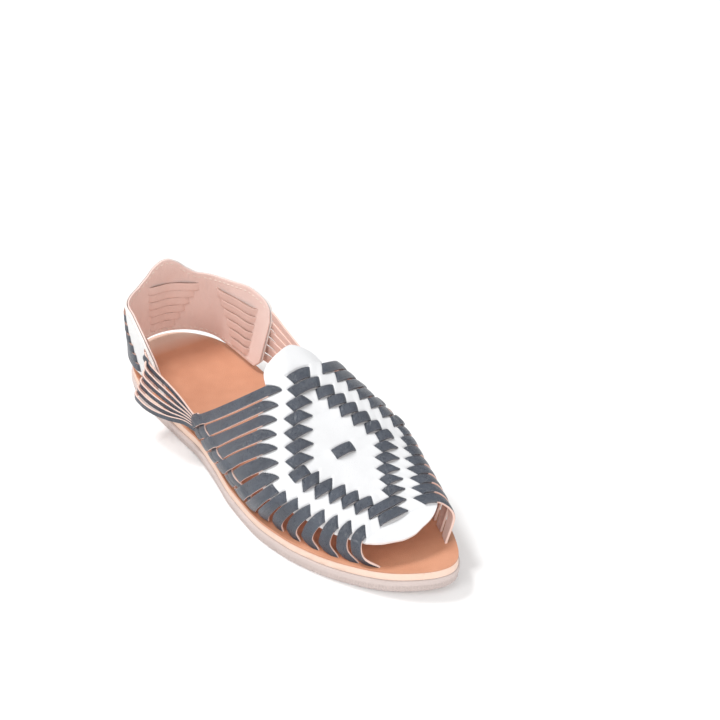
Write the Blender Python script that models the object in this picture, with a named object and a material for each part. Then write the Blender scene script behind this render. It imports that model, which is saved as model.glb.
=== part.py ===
"""Right huarache sandal: woven leather upper, heel counter held by strands, flat leather and rubber sole.

Frame: metres, +Z up, floor at Z = 0. The origin is on the floor under the middle of the heel. The toe
points along -Y and the big toe side is +X, so +X is medial and -X is lateral on this right shoe.
"""
import math
from collections import namedtuple
from functools import lru_cache

import bmesh
import bpy
from mathutils import Vector

# Driving sizes
SOLE_LENGTH = 0.256
BALL_WIDTH = 0.082
INSTEP_RISE = 0.0545
OUTSOLE_THICKNESS = 0.0068
MIDSOLE_THICKNESS = 0.0037
INSOLE_THICKNESS = 0.0011
TOE_SPRING = 0.0035
ARCH_RISE = 0.0010
FIT_GAP = 0.0003

# Sole edges
HEEL_CENTRE_SHARE = 0.1133
TOE_SPRING_START = 0.80
ARCH_START = 0.30
ARCH_END = 0.58
MIDSOLE_INSET = 0.0004
MIDSOLE_ROUNDING = 0.0014
INSOLE_INSET = 0.0022
RIB_HEIGHT = 0.0032
RIB_DEPTH = 0.0005
OUTSOLE_STEP = 0.0006
OUTSOLE_STATIONS = 42
LEATHER_STATIONS = 26

# Woven vamp
STRAP_COUNT = 15
STRAP_WIDTH = 0.0064
STRAP_THICKNESS = 0.0017
STRAP_PROUD = 0.0008
PANEL_THICKNESS = 0.0016
STRAP_FILL = 0.86
FIRST_RIDGE_SHARE = 0.5645
LAST_RIDGE_SHARE = 0.8715
FIRST_MEDIAL_SHARE = 0.4010
LAST_MEDIAL_SHARE = 0.9210
LATERAL_FOOT_INSET = 0.004
MEDIAL_FOOT_INSET = 0.0062
LATERAL_CURL = 0.0040
PANEL_OVERLAP = 0.0076
TOE_OVERLAP = 0.0026
TOE_OVERLAP_ROWS = (12.0, 15.0)
TONGUE_OVERLAP = 0.0035
PANEL_COLUMNS = 12
BIT_SPANS = 1
STRAP_SPANS = 7
SIDE_STRAP_SPANS = 15
TONGUE_ROW = -1.55
TOE_ROW = 17.5
TONGUE_TAPER = 0.97
TOE_TAPER = 0.98
TONGUE_ROUNDNESS = 2.6
TOE_ROUNDNESS = 1.1
LEAST_WIDTH = 0.02
SKEW_RUN = 0.4
SIDE_STRAP_ROWS = (0.35, 7.62)
SIDE_STRAP_RISE = 0.0085
SIDE_STRAP_SWING = 0.0009

# Heel counter and its strands
COUNTER_RADIUS = 0.0270
COUNTER_WALL = 0.0024
COUNTER_SPREAD = 0.03
COUNTER_REACH = 0.0760
COUNTER_HEM = 0.0030
COUNTER_PEAK_PLACE = 0.0035
COUNTER_CORNER_RISE = 0.0040
COUNTER_CORNER_START = 0.95
COUNTER_LEVELS = 3
STRAND_COUNT = 6
STRAND_WIDTH = 0.0040
STRAND_THICKNESS = 0.0014
STRAND_LOW = 0.0082
STRAND_PITCH = 0.0046
STRAND_PROUD = 0.0007
STRAND_FILL = 0.85

# One row for each edge station: share of the length, half widths as shares of the ball width
Outline = namedtuple("Outline", "share lateral medial")
OUTLINE = (
    Outline(0.000, 0.000, 0.000),
    Outline(0.012, -0.148, 0.146),
    Outline(0.040, -0.244, 0.244),
    Outline(0.090, -0.329, 0.332),
    Outline(0.160, -0.372, 0.379),
    Outline(0.250, -0.377, 0.378),
    Outline(0.360, -0.379, 0.360),
    Outline(0.460, -0.422, 0.358),
    Outline(0.560, -0.479, 0.396),
    Outline(0.660, -0.501, 0.456),
    Outline(0.740, -0.470, 0.496),
    Outline(0.820, -0.389, 0.488),
    Outline(0.890, -0.273, 0.429),
    Outline(0.945, -0.146, 0.357),
    Outline(0.985, 0.021, 0.276),
    Outline(1.000, 0.172, 0.172),
)

# One row for each vamp section, named by strap number. Places across are shares of the ball width, heights
# are shares of the instep rise above the footbed. The last three numbers are for the lateral side: how far the
# bulge and the side have turned from the ridge's place along the shoe to the foot's, and the foot's own share of
# the length.
Section = namedtuple(
    "Section",
    "strap bulge_l bulge_l_z side_l side_l_z edge_l edge_l_z peak peak_z "
    "edge_m edge_m_z side_m side_m_z bulge_m bulge_m_z turn_bulge turn_side foot",
)
SECTIONS = (
    Section(-2, -0.335, 0.2, -0.29, 0.62, -0.08, 1.11, 0.036, 1.195, 0.150, 1.150, 0.33, 0.95, 0.40, 0.60,
            0.78, 0.42, 0.219),
    Section(1, -0.4035, 0.19, -0.361, 0.55, -0.116, 0.971, 0.048, 1.003, 0.173, 0.985, 0.39, 0.80, 0.47, 0.47,
            0.755, 0.375, 0.3293),
    Section(5, -0.4835, 0.148, -0.484, 0.477, -0.318, 0.694, 0.050, 0.778, 0.333, 0.750, 0.455, 0.64, 0.52, 0.40,
            0.645, 0.265, 0.4741),
    Section(8, -0.4865, 0.044, -0.508, 0.298, -0.382, 0.492, 0.060, 0.608, 0.402, 0.577, 0.500, 0.50, 0.54, 0.36,
            0.715, 0.255, 0.6256),
    Section(11, -0.4195, 0.0965, -0.383, 0.257, -0.301, 0.3695, 0.060, 0.466, 0.343, 0.466, 0.452, 0.41, 0.50, 0.29,
            0.765, 0.42, 0.7601),
    Section(15, -0.234, 0.116, -0.222, 0.236, -0.115, 0.283, 0.060, 0.322, 0.212, 0.360, 0.345, 0.35, 0.40, 0.24,
            0.92, 0.41, 0.9105),
    Section(18, -0.158, 0.115, -0.145, 0.185, -0.06, 0.205, 0.065, 0.222, 0.160, 0.245, 0.25, 0.24, 0.30, 0.18,
            0.92, 0.41, 1),
)

# The same turns on the medial side
FAN_MEDIAL = (0.62, 0.24)

# One row for each strap: the distances from the ridge in millimetres at which it dives under the white panel or
# comes up again, from the lateral side to the medial, and how far the slit there runs towards the medial side
# over one strap's spacing towards the toe
Weave = namedtuple("Weave", "places slants")
WEAVE = (
    Weave((-17.5, -9.0, 3.0, 10.4), (5.4, 2.0, -3.2, -4.1)),
    Weave((-23.5, -12.1, 5.0, 15.7), (6.2, 2.3, -2.5, -3.9)),
    Weave((-27.7, -16.7, -5.8, -0.2, 9.7, 18.7), (5.6, 2.0, 3.6, -1.7, -2.7, -4.6)),
    Weave((-31.7, -21.2, -10.1, 2.7, 12.7, 21.0), (5.6, 2.8, 5.2, -2.4, -2.3, -3.2)),
    Weave((-35.3, -25.0, -14.0, 6.0, 15.8, 24.0), (6.6, 2.6, 5.6, -2.1, -2.3, -3.1)),
    Weave((-38.8, -28.3, -17.5, 9.2, 19.0, 26.6), (6.6, 2.5, 5.1, -2.2, -1.7, -2.5)),
    Weave((-42.2, -32.1, -21.4, 12.8, 21.6, 29.7), (6.2, 2.2, 5.0, -2.2, -1.8, -2.9)),
    Weave((-43.6, -34.6, -25.2, -9.4, 2.1, 15.9, 24.5, 31.0), (1.0, 1.0, 0.8, 0.6, 0.2, -0.4, 0.2, 1.2)),
    Weave((-41.0, -31.8, -22.2, 12.9, 21.5, 28.6), (-2.8, -2.9, -4.2, 2.8, 4.5, 1.8)),
    Weave((-37.8, -28.4, -18.2, 9.9, 18.5, 27.0), (-3.5, -3.2, -4.4, 3.2, 4.8, 3.2)),
    Weave((-34.2, -23.7, -13.9, 7.0, 15.0, 24.0), (-3.4, -2.6, -3.4, 3.2, 4.9, 3.6)),
    Weave((-29.6, -19.7, -9.9, 4.8, 12.8, 21.6), (-3.5, -2.5, -3.1, 2.2, 5.6, 3.9)),
    Weave((-25.7, -15.8, -5.4, 2.2, 10.4, 19.3), (-3.8, -2.4, -2.2, 1.6, 5.4, 3.4)),
    Weave((-21.8, -11.4, 7.9, 16.6), (-4.2, -2.7, 4.0, 3.6)),
    Weave((-17.5, -9.1, 5.2, 13.9), (-4.4, -2.4, 3.8, 3.6)),
)

# One row for each place round the counter, from the back's middle forwards: share of its reach, rim height as
# a share of the instep rise above the footbed, and outward lean per unit of height
Rim = namedtuple("Rim", "place rim lean")
RIM = (
    Rim(0.00, 0.925, -0.115),
    Rim(0.12, 0.890, -0.105),
    Rim(0.20, 0.800, -0.070),
    Rim(0.29, 0.740, -0.030),
    Rim(0.42, 0.735, 0.040),
    Rim(0.56, 0.755, 0.090),
    Rim(0.72, 0.780, 0.170),
    Rim(0.88, 0.740, 0.240),
    Rim(0.96, 0.670, 0.275),
    Rim(1.00, 0.540, 0.285),
)

# Where a strand crosses the wall, as shares of the counter's reach, for the top and the bottom strand
BACK_GROUP_LATERAL = (-0.130, -0.082)
BACK_GROUP_MEDIAL = (0.333, 0.141)
WING_GROUP_BACK = (0.465, 0.640)
WING_EXIT = 0.80
CROSSING_RUN = 0.06

# One row for each free point of a strand in front of the counter: share of the length from the heel's back,
# place across as a share of the ball width, heights of the top and bottom strand above the footbed as shares
# of the instep rise
Free = namedtuple("Free", "share across_top across_low top low")
LATERAL_FREE = (
    Free(0.225, -0.444, -0.545, 0.480, 0.190),
    Free(0.258, -0.440, -0.562, 0.443, 0.180),
    Free(0.295, -0.427, -0.545, 0.410, 0.175),
    Free(0.332, -0.409, -0.500, 0.345, 0.180),
    Free(0.362, -0.394, -0.440, 0.270, 0.180),
    Free(0.400, -0.390, -0.405, 0.235, 0.160),
)
MEDIAL_FREE = (
    Free(0.230, 0.455, 0.405, 0.600, 0.130),
    Free(0.290, 0.458, 0.420, 0.530, 0.145),
    Free(0.355, 0.460, 0.430, 0.455, 0.160),
    Free(0.430, 0.460, 0.435, 0.385, 0.185),
    Free(0.490, 0.480, 0.465, 0.345, 0.205),
)

FOOTBED = OUTSOLE_THICKNESS + MIDSOLE_THICKNESS + INSOLE_THICKNESS + 2 * FIT_GAP


def clear_scene():
    """Remove whatever the file holds."""
    for item in list(bpy.data.objects):
        bpy.data.objects.remove(item, do_unlink=True)


def material(name, colour, roughness):
    """A plain leather or rubber finish."""
    finish = bpy.data.materials.new(name)
    finish.use_nodes = True
    shader = finish.node_tree.nodes["Principled BSDF"]
    shader.inputs["Base Color"].default_value = (*colour, 1.0)
    shader.inputs["Roughness"].default_value = roughness
    shader.inputs["Metallic"].default_value = 0.0
    finish.diffuse_color = (*colour, 1.0)
    return finish


def read_table(rows, key, column, at):
    """Value of a table's column at a place, on a smooth curve through its rows."""
    places = [getattr(row, key) for row in rows]
    values = [getattr(row, column) for row in rows]
    if at <= places[0]:
        return values[0]
    if at >= places[-1]:
        return values[-1]
    i = max(k for k in range(len(places) - 1) if places[k] <= at)
    span = places[i + 1] - places[i]
    slope = (values[i + 1] - values[i]) / span

    def tangent(k):
        if k <= 0 or k >= len(places) - 1:
            return slope
        before = (values[k] - values[k - 1]) / (places[k] - places[k - 1])
        after = (values[k + 1] - values[k]) / (places[k + 1] - places[k])
        return 0.0 if before * after <= 0 else 2 * before * after / (before + after)

    t = (at - places[i]) / span
    start, end = tangent(i) * span, tangent(i + 1) * span
    h = t * t * (3 - 2 * t)
    return values[i] + h * (values[i + 1] - values[i]) + t * (1 - t) ** 2 * start - t * t * (1 - t) * end


def along(share):
    """Y of a share of the sole's length, counted from the heel's back."""
    return (HEEL_CENTRE_SHARE - share) * SOLE_LENGTH


def share_of(y):
    """Share of the sole's length at a Y."""
    return HEEL_CENTRE_SHARE - y / SOLE_LENGTH


def smooth_step(low, high, value):
    """0 below low, 1 above high, and a soft ramp between."""
    t = min(max((value - low) / (high - low), 0.0), 1.0)
    return t * t * (3 - 2 * t)


def lift(share):
    """Height that the shank's arch and the toe spring add to every layer of the sole."""
    spring = max(share - TOE_SPRING_START, 0.0) / (1 - TOE_SPRING_START)
    arch = smooth_step(ARCH_START, 0.5 * (ARCH_START + ARCH_END), share)
    arch -= smooth_step(0.5 * (ARCH_START + ARCH_END), ARCH_END, share)
    return TOE_SPRING * spring * spring + ARCH_RISE * arch


def turn_of(share):
    """Angle that runs evenly round the sole's ends, 0 at the heel's back and pi at the toe's tip."""
    return math.acos(1 - 2 * min(max(share, 0.0), 1.0))


Edge = namedtuple("Edge", "turn lateral medial")
EDGES = tuple(Edge(turn_of(row.share), row.lateral, row.medial) for row in OUTLINE)


def edge_across(share, side):
    """X of the sole's edge at a share of its length, side being lateral or medial."""
    return read_table(EDGES, "turn", side, turn_of(share)) * BALL_WIDTH


def outline(stations, inset, rib=0.0):
    """Edge points up the lateral side and back down the medial side, pulled in by an inset and by ribs."""
    shares = [0.5 - 0.5 * math.cos(math.pi * k / stations) for k in range(stations + 1)]
    lateral = [Vector((edge_across(s, "lateral"), along(s))) for s in shares]
    medial = [Vector((edge_across(s, "medial"), along(s))) for s in shares]
    loop = lateral + medial[-2:0:-1]
    pulled = []
    for k, point in enumerate(loop):
        run = (loop[(k + 1) % len(loop)] - loop[k - 1]).normalized()
        depth = inset + (rib * run.y ** 2 if k % 2 else 0.0)
        pulled.append(point + Vector((-run.y, run.x)) * depth)
    return pulled


def sole_layer(name, finish, stations, rings):
    """Closed layer of the sole; a ring is its height, its inset and the depth of its ribs."""
    mesh = bmesh.new()
    loops = []
    for height, inset, rib in rings:
        edge = outline(stations, inset, rib)
        loops.append([mesh.verts.new((p.x, p.y, height + lift(share_of(p.y)))) for p in edge])
    count = len(loops[0])
    for low, high in zip(loops, loops[1:]):
        for k in range(count):
            mesh.faces.new((low[k], low[(k + 1) % count], high[(k + 1) % count], high[k]))
    for loop, down in ((loops[0], True), (loops[-1], False)):
        for k in range(stations):
            quad = [loop[k], loop[k + 1], loop[(count - k - 1) % count], loop[(count - k) % count]]
            face = [v for i, v in enumerate(quad) if v not in quad[:i]]
            mesh.faces.new(face)
    bmesh.ops.triangulate(mesh, faces=mesh.faces[:])
    bmesh.ops.recalc_face_normals(mesh, faces=mesh.faces[:])
    return finish_object(name, mesh, finish)


def finish_object(name, mesh, finish):
    """Turn a bmesh into a named, smooth-shaded object with its material."""
    data = bpy.data.meshes.new(name)
    mesh.to_mesh(data)
    mesh.free()
    item = bpy.data.objects.new(name, data)
    bpy.context.scene.collection.objects.link(item)
    data.materials.append(finish)
    data.shade_smooth()
    data.set_sharp_from_angle(angle=math.radians(40))
    return item


def vamp_row(row, first, last):
    """Value that runs evenly from the first strap to the last."""
    return first + (last - first) * (row - 1) / (STRAP_COUNT - 1)


def foot_height(y):
    """Lowest height of the upper over the insole."""
    return FOOTBED + FIT_GAP + lift(share_of(y))


@lru_cache(maxsize=None)
def section_points(row):
    """The nine points that a strap's middle line passes, from its lateral foot over the ridge to the medial."""
    ridge = along(vamp_row(row, FIRST_RIDGE_SHARE, LAST_RIDGE_SHARE))
    lateral = along(read_table(SECTIONS, "strap", "foot", row)) + LATERAL_CURL
    turn_bulge = read_table(SECTIONS, "strap", "turn_bulge", row)
    turn_side = read_table(SECTIONS, "strap", "turn_side", row)
    medial = along(vamp_row(row, FIRST_MEDIAL_SHARE, LAST_MEDIAL_SHARE))

    def point(name, y):
        across = read_table(SECTIONS, "strap", name, row) * BALL_WIDTH
        rise = read_table(SECTIONS, "strap", name + "_z", row) * INSTEP_RISE
        return Vector((across, y, FOOTBED + rise))

    foot_l = lateral - LATERAL_CURL
    lateral_x = edge_across(share_of(foot_l), "lateral") + LATERAL_FOOT_INSET
    medial_x = edge_across(share_of(medial), "medial") - MEDIAL_FOOT_INSET
    return (
        Vector((lateral_x, foot_l, foot_height(foot_l))),
        point("bulge_l", ridge + turn_bulge * (lateral - ridge)),
        point("side_l", ridge + turn_side * (lateral - ridge)),
        point("edge_l", ridge),
        point("peak", ridge),
        point("edge_m", ridge),
        point("side_m", ridge + FAN_MEDIAL[1] * (medial - ridge)),
        point("bulge_m", ridge + FAN_MEDIAL[0] * (medial - ridge)),
        Vector((medial_x, medial, foot_height(medial))),
    )


def spline(points, steps):
    """Points on a Catmull-Rom curve through the given ones, spaced by the roots of their distances."""
    padded = [2 * points[0] - points[1], *points, 2 * points[-1] - points[-2]]
    curve = []
    for k in range(1, len(padded) - 2):
        a, b, c, d = padded[k - 1:k + 3]
        t0 = 0.0
        t1 = t0 + math.sqrt((b - a).length)
        t2 = t1 + math.sqrt((c - b).length)
        t3 = t2 + math.sqrt((d - c).length)
        for i in range(steps):
            t = t1 + (t2 - t1) * i / steps
            ab = a.lerp(b, (t - t0) / (t1 - t0))
            bc = b.lerp(c, (t - t1) / (t2 - t1))
            cd = c.lerp(d, (t - t2) / (t3 - t2))
            abc = ab.lerp(bc, (t - t0) / (t2 - t0))
            bcd = bc.lerp(cd, (t - t1) / (t3 - t1))
            curve.append(abc.lerp(bcd, (t - t1) / (t2 - t1)))
    curve.append(points[-1].copy())
    return curve


CURVE_STEPS = 14


@lru_cache(maxsize=None)
def strap_line(row):
    """A strap's middle line and the distance along it, counted from the ridge, lateral being negative."""
    curve = spline(section_points(row), CURVE_STEPS)
    runs = [0.0]
    for a, b in zip(curve, curve[1:]):
        runs.append(runs[-1] + (b - a).length)
    ridge = runs[4 * CURVE_STEPS]
    return curve, [run - ridge for run in runs]


def on_vamp(row, run):
    """Point of the vamp's surface at a strap number and a distance from the ridge."""
    curve, runs = strap_line(round(row, 4))
    run = min(max(run, runs[0]), runs[-1])
    low, high = 0, len(runs) - 1
    while high - low > 1:
        middle = (low + high) // 2
        low, high = (middle, high) if runs[middle] <= run else (low, middle)
    return curve[low].lerp(curve[high], (run - runs[low]) / (runs[high] - runs[low]))


def vamp_frame(row, run):
    """Outward direction and row spacing of the vamp's surface."""
    step, small = 0.12, 0.0008
    across = on_vamp(row, run + small) - on_vamp(row, run - small)
    forward = (on_vamp(row + step, run) - on_vamp(row - step, run)) / (2 * step)
    normal = forward.cross(across).normalized()
    flat = forward - forward.dot(across.normalized()) * across.normalized()
    return normal, flat.length


def raised(row, run, height):
    """Point at a height over the vamp's surface, never lower than the insole."""
    normal, _ = vamp_frame(row, run)
    point = on_vamp(row, run) + normal * height
    point.z = max(point.z, foot_height(point.y))
    return point


def ribbon(mesh, sections):
    """Closed strip through sections of four corners each."""
    rings = [[mesh.verts.new(corner) for corner in section] for section in sections]
    for a, b in zip(rings, rings[1:]):
        for k in range(4):
            mesh.faces.new((a[k], a[(k + 1) % 4], b[(k + 1) % 4], b[k]))
    mesh.faces.new(rings[0][::-1])
    mesh.faces.new(rings[-1])


def strap_piece(mesh, row, start, end, skew_start, skew_end, count):
    """One visible length of a strap on the vamp, its two ends cut aslant."""
    sections = []
    for k in range(count + 1):
        t = k / count
        run = start + (end - start) * t
        skew = skew_start * max(1 - t / SKEW_RUN, 0.0) + skew_end * max(1 - (1 - t) / SKEW_RUN, 0.0)
        _, pitch = vamp_frame(row, run)
        half = min(0.5 * STRAP_WIDTH / pitch, 0.5 * STRAP_FILL)
        low, high = STRAP_PROUD - STRAP_THICKNESS, STRAP_PROUD
        heel = (row - half, run - half * skew)
        toe = (row + half, run + half * skew)
        sections.append((raised(*heel, low), raised(*heel, high), raised(*toe, high), raised(*toe, low)))
    ribbon(mesh, sections)


def weave(row):
    """Distances from the ridge at which a strap dives or comes up, and the slants of the slits there."""
    marks = WEAVE[row - 1]
    return [0.001 * place for place in marks.places], [0.001 * slant for slant in marks.slants]


def panel_edges(row):
    """Distances from the ridge of the white panel's lateral and medial edge, before its ends are rounded."""
    low = min(max(math.floor(row), 1), STRAP_COUNT - 1)
    share = min(max(row - low, 0.0), 1.0)
    behind, before = WEAVE[low - 1].places, WEAVE[low].places
    lateral, medial = [0.001 * (behind[k] + (before[k] - behind[k]) * share) for k in (0, -1)]
    overlap = TONGUE_OVERLAP + (PANEL_OVERLAP - TONGUE_OVERLAP) * smooth_step(0.0, 2.0, row)
    return lateral - overlap, medial + overlap + TOE_OVERLAP * smooth_step(*TOE_OVERLAP_ROWS, row)


def panel_width(row):
    """How much of its full width the panel keeps at its rounded tongue and toe."""
    if row < 1:
        t = (TONGUE_TAPER * (1 - row) / (1 - TONGUE_ROW)) ** TONGUE_ROUNDNESS
    elif row > STRAP_COUNT:
        t = (TOE_TAPER * (row - STRAP_COUNT) / (TOE_ROW - STRAP_COUNT)) ** TOE_ROUNDNESS
    else:
        t = 0.0
    return math.sqrt(max(1 - t, LEAST_WIDTH))


def panel(mesh):
    """The white panel, one wall from the rounded tongue to the toe's edge."""
    rows = [TONGUE_ROW + (1 - TONGUE_ROW) * t for t in (0, 0.13, 0.33, 0.6)]
    rows += [1 + k * 1.0 for k in range(STRAP_COUNT)]
    rows += [STRAP_COUNT + (TOE_ROW - STRAP_COUNT) * t for t in (0.35, 0.7, 0.92, 1.0)]
    columns = PANEL_COLUMNS
    tops, lows = [], []
    for row in rows:
        left, right = panel_edges(row)
        middle, half = 0.5 * (left + right), 0.5 * (right - left) * panel_width(row)
        spread = [math.sin(0.5 * math.pi * (2 * c / columns - 1)) for c in range(columns + 1)]
        runs = [middle + half * (0.5 * s + c / columns - 0.5) for c, s in enumerate(spread)]
        tops.append([mesh.verts.new(raised(row, run, 0.0)) for run in runs])
        lows.append([mesh.verts.new(raised(row, run, -PANEL_THICKNESS)) for run in runs])
    for k in range(len(rows) - 1):
        for c in range(columns):
            mesh.faces.new((tops[k][c], tops[k + 1][c], tops[k + 1][c + 1], tops[k][c + 1]))
            mesh.faces.new((lows[k][c], lows[k][c + 1], lows[k + 1][c + 1], lows[k + 1][c]))
        for c in (0, columns):
            mesh.faces.new((tops[k][c], lows[k][c], lows[k + 1][c], tops[k + 1][c]))
    for k in (0, len(rows) - 1):
        for c in range(columns):
            mesh.faces.new((tops[k][c], tops[k][c + 1], lows[k][c + 1], lows[k][c]))


def straps(mesh):
    """All fifteen straps: their bits on the panel and their outer lengths down to the insole."""
    for row in range(1, STRAP_COUNT + 1):
        places, slants = weave(row)
        for k in range(1, len(places) - 1, 2):
            strap_piece(mesh, row, places[k], places[k + 1], slants[k], slants[k + 1], BIT_SPANS)
        _, runs = strap_line(row)
        strap_piece(mesh, row, places[0], runs[0], slants[0], 0.0, STRAP_SPANS)
        strap_piece(mesh, row, places[-1], runs[-1], slants[-1], 0.0, STRAP_SPANS)


def side_strap(mesh, side):
    """The strap that runs lengthwise down one side, over the even straps and under the odd ones."""
    first, last = SIDE_STRAP_ROWS
    count = SIDE_STRAP_SPANS
    sections = []
    for k in range(count + 1):
        row = first + (last - first) * k / count
        _, runs = strap_line(round(row, 4))
        bulge = runs[CURVE_STEPS] if side < 0 else runs[7 * CURVE_STEPS]
        run = bulge - side * SIDE_STRAP_RISE
        height = SIDE_STRAP_SWING * math.cos(math.pi * row)
        low, high = height - 0.5 * STRAP_THICKNESS, height + 0.5 * STRAP_THICKNESS
        inner, outer = run - 0.5 * STRAP_WIDTH, run + 0.5 * STRAP_WIDTH
        sections.append((
            raised(row, inner, low),
            raised(row, inner, high),
            raised(row, outer, high),
            raised(row, outer, low),
        ))
    ribbon(mesh, sections)


def counter_point(place, height, offset):
    """Point of the heel counter at a distance round it from the back's middle, a height and an offset."""
    distance, side = abs(place), math.copysign(1, place)
    corner = 0.5 * math.pi * COUNTER_RADIUS
    if distance <= corner:
        turn = distance / COUNTER_RADIUS
        base = Vector((math.sin(turn), math.cos(turn), 0)) * COUNTER_RADIUS
        normal = Vector((math.sin(turn), math.cos(turn), 0))
    else:
        base = Vector((COUNTER_RADIUS + COUNTER_SPREAD * (distance - corner), corner - distance, 0))
        normal = Vector((1, 0, 0))
    lean = read_table(RIM, "place", "lean", distance / COUNTER_REACH)
    base += normal * (lean * (height - FOOTBED - COUNTER_HEM) + offset)
    return Vector((side * base.x, base.y, height))


def counter(mesh):
    """The heel counter's wall: a tab at the back and two flared wings with rounded corners."""
    shares = [0, 0.05, 0.10, 0.16, 0.22, 0.29, 0.36, 0.44, 0.52, 0.61, 0.70, 0.79, 0.88, 0.95, 1.0]
    places = [-share for share in shares[:0:-1]] + shares
    levels = COUNTER_LEVELS
    inner, outer = [], []
    for share in places:
        place = share * COUNTER_REACH
        shifted = abs(place - COUNTER_PEAK_PLACE * (1 - abs(share)))
        rim = FOOTBED + INSTEP_RISE * read_table(RIM, "place", "rim", shifted / COUNTER_REACH)
        corner = max(abs(share) - COUNTER_CORNER_START, 0) / (1 - COUNTER_CORNER_START)
        hem = FOOTBED + COUNTER_HEM + COUNTER_CORNER_RISE * corner
        heights = [hem + (rim - hem) * k / levels for k in range(levels + 1)]
        half = 0.5 * COUNTER_WALL
        inner.append([mesh.verts.new(counter_point(place, z, -half)) for z in heights])
        outer.append([mesh.verts.new(counter_point(place, z, half)) for z in heights])
    for k in range(len(places) - 1):
        for c in range(levels):
            mesh.faces.new((inner[k][c], inner[k][c + 1], inner[k + 1][c + 1], inner[k + 1][c]))
            mesh.faces.new((outer[k][c], outer[k + 1][c], outer[k + 1][c + 1], outer[k][c + 1]))
        for c in (0, levels):
            mesh.faces.new((inner[k][c], inner[k + 1][c], outer[k + 1][c], outer[k][c]))
    for k in (0, len(places) - 1):
        for c in range(levels):
            mesh.faces.new((inner[k][c], outer[k][c], outer[k][c + 1], inner[k][c + 1]))


def strand_path(number):
    """Middle line and widths of one heel strand, from the lateral side round to the medial."""
    low = number / (STRAND_COUNT - 1)
    height = FOOTBED + STRAND_LOW + STRAND_PITCH * (STRAND_COUNT - 1 - number)
    inside = -0.5 * COUNTER_WALL - STRAND_PROUD + 0.5 * STRAND_THICKNESS

    def mix(pair):
        return pair[0] + (pair[1] - pair[0]) * low

    crossings = (
        -WING_EXIT, -mix(WING_GROUP_BACK), mix(BACK_GROUP_LATERAL),
        mix(BACK_GROUP_MEDIAL), mix(WING_GROUP_BACK), WING_EXIT,
    )
    face = 1
    marks = []
    for k, place in enumerate(crossings):
        marks += [(place - 0.5 * CROSSING_RUN, face), (place + 0.5 * CROSSING_RUN, -face)]
        face = -face
        if k < len(crossings) - 1:
            marks.append((0.5 * (place + crossings[k + 1]), face))
    points = [counter_point(share * COUNTER_REACH, height, -inside * face) for share, face in marks]

    def free(table):
        return [
            Vector((
                BALL_WIDTH * (row.across_top + (row.across_low - row.across_top) * low),
                along(row.share),
                FOOTBED + INSTEP_RISE * (row.top + (row.low - row.top) * low),
            ))
            for row in table
        ]

    def narrow(table):
        spaces = [(row.top - row.low) * INSTEP_RISE / (STRAND_COUNT - 1) for row in table]
        return [min(STRAND_WIDTH, STRAND_FILL * space) for space in spaces]

    path = free(LATERAL_FREE)[::-1] + points + free(MEDIAL_FREE)
    widths = narrow(LATERAL_FREE)[::-1] + [STRAND_WIDTH] * len(points) + narrow(MEDIAL_FREE)
    return path, widths


def strands(mesh):
    """Six strands that run from vamp to vamp round the heel and weave through the counter."""
    for number in range(STRAND_COUNT):
        points, widths = strand_path(number)
        sections = []
        for k, point in enumerate(points):
            ahead = points[min(k + 1, len(points) - 1)] - points[max(k - 1, 0)]
            out = Vector((ahead.y, -ahead.x, 0)).normalized()
            up = ahead.cross(out).normalized()
            up = up if up.z > 0 else -up
            rise, thick = up * 0.5 * widths[k], out * 0.5 * STRAND_THICKNESS
            corners = (point - rise - thick, point + rise - thick, point + rise + thick, point - rise + thick)
            floor = foot_height(point.y)
            sections.append([Vector((c.x, c.y, max(c.z, floor))) for c in corners])
        ribbon(mesh, sections)


def loose_object(name, build, *values):
    """A closed helper mesh made by one of the builders, its faces turned outwards."""
    mesh = bmesh.new()
    build(mesh, *values)
    bmesh.ops.recalc_face_normals(mesh, faces=mesh.faces[:])
    bmesh.ops.triangulate(mesh, faces=mesh.faces[:])
    data = bpy.data.meshes.new(name)
    mesh.to_mesh(data)
    mesh.free()
    item = bpy.data.objects.new(name, data)
    bpy.context.scene.collection.objects.link(item)
    return item


def join_into(base, others):
    """Union the other solids into the base, so that crossing straps are one piece of leather."""
    group = bpy.data.collections.new(base.name + "_parts")
    bpy.context.scene.collection.children.link(group)
    for other in others:
        bpy.context.scene.collection.objects.unlink(other)
        group.objects.link(other)
        other.hide_render = True
        other.display_type = "WIRE"
    union = base.modifiers.new("join", "BOOLEAN")
    union.operation = "UNION"
    union.solver = "EXACT"
    union.operand_type = "COLLECTION"
    union.collection = group


def build_sole(rubber, tan, natural):
    """Rubber outsole with a ribbed lower side, rounded leather midsole and the tan insole."""
    sole_layer("outsole", rubber, OUTSOLE_STATIONS, (
        (0.0, 0.0, RIB_DEPTH),
        (RIB_HEIGHT, 0.0, RIB_DEPTH),
        (RIB_HEIGHT + OUTSOLE_STEP, -OUTSOLE_STEP, 0.0),
        (OUTSOLE_THICKNESS, -OUTSOLE_STEP, 0.0),
    ))
    low = OUTSOLE_THICKNESS + FIT_GAP
    high = low + MIDSOLE_THICKNESS
    sole_layer("midsole", natural, LEATHER_STATIONS, (
        (low, MIDSOLE_INSET, 0.0),
        (high - MIDSOLE_ROUNDING, MIDSOLE_INSET, 0.0),
        (high - 0.4 * MIDSOLE_ROUNDING, MIDSOLE_INSET + 0.3 * MIDSOLE_ROUNDING, 0.0),
        (high, MIDSOLE_INSET + MIDSOLE_ROUNDING, 0.0),
    ))
    low = high + FIT_GAP
    sole_layer("insole", tan, LEATHER_STATIONS, (
        (low, INSOLE_INSET, 0.0),
        (low + 0.5 * INSOLE_THICKNESS, INSOLE_INSET, 0.0),
        (low + INSOLE_THICKNESS, INSOLE_INSET + 0.4 * INSOLE_THICKNESS, 0.0),
    ))


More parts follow.
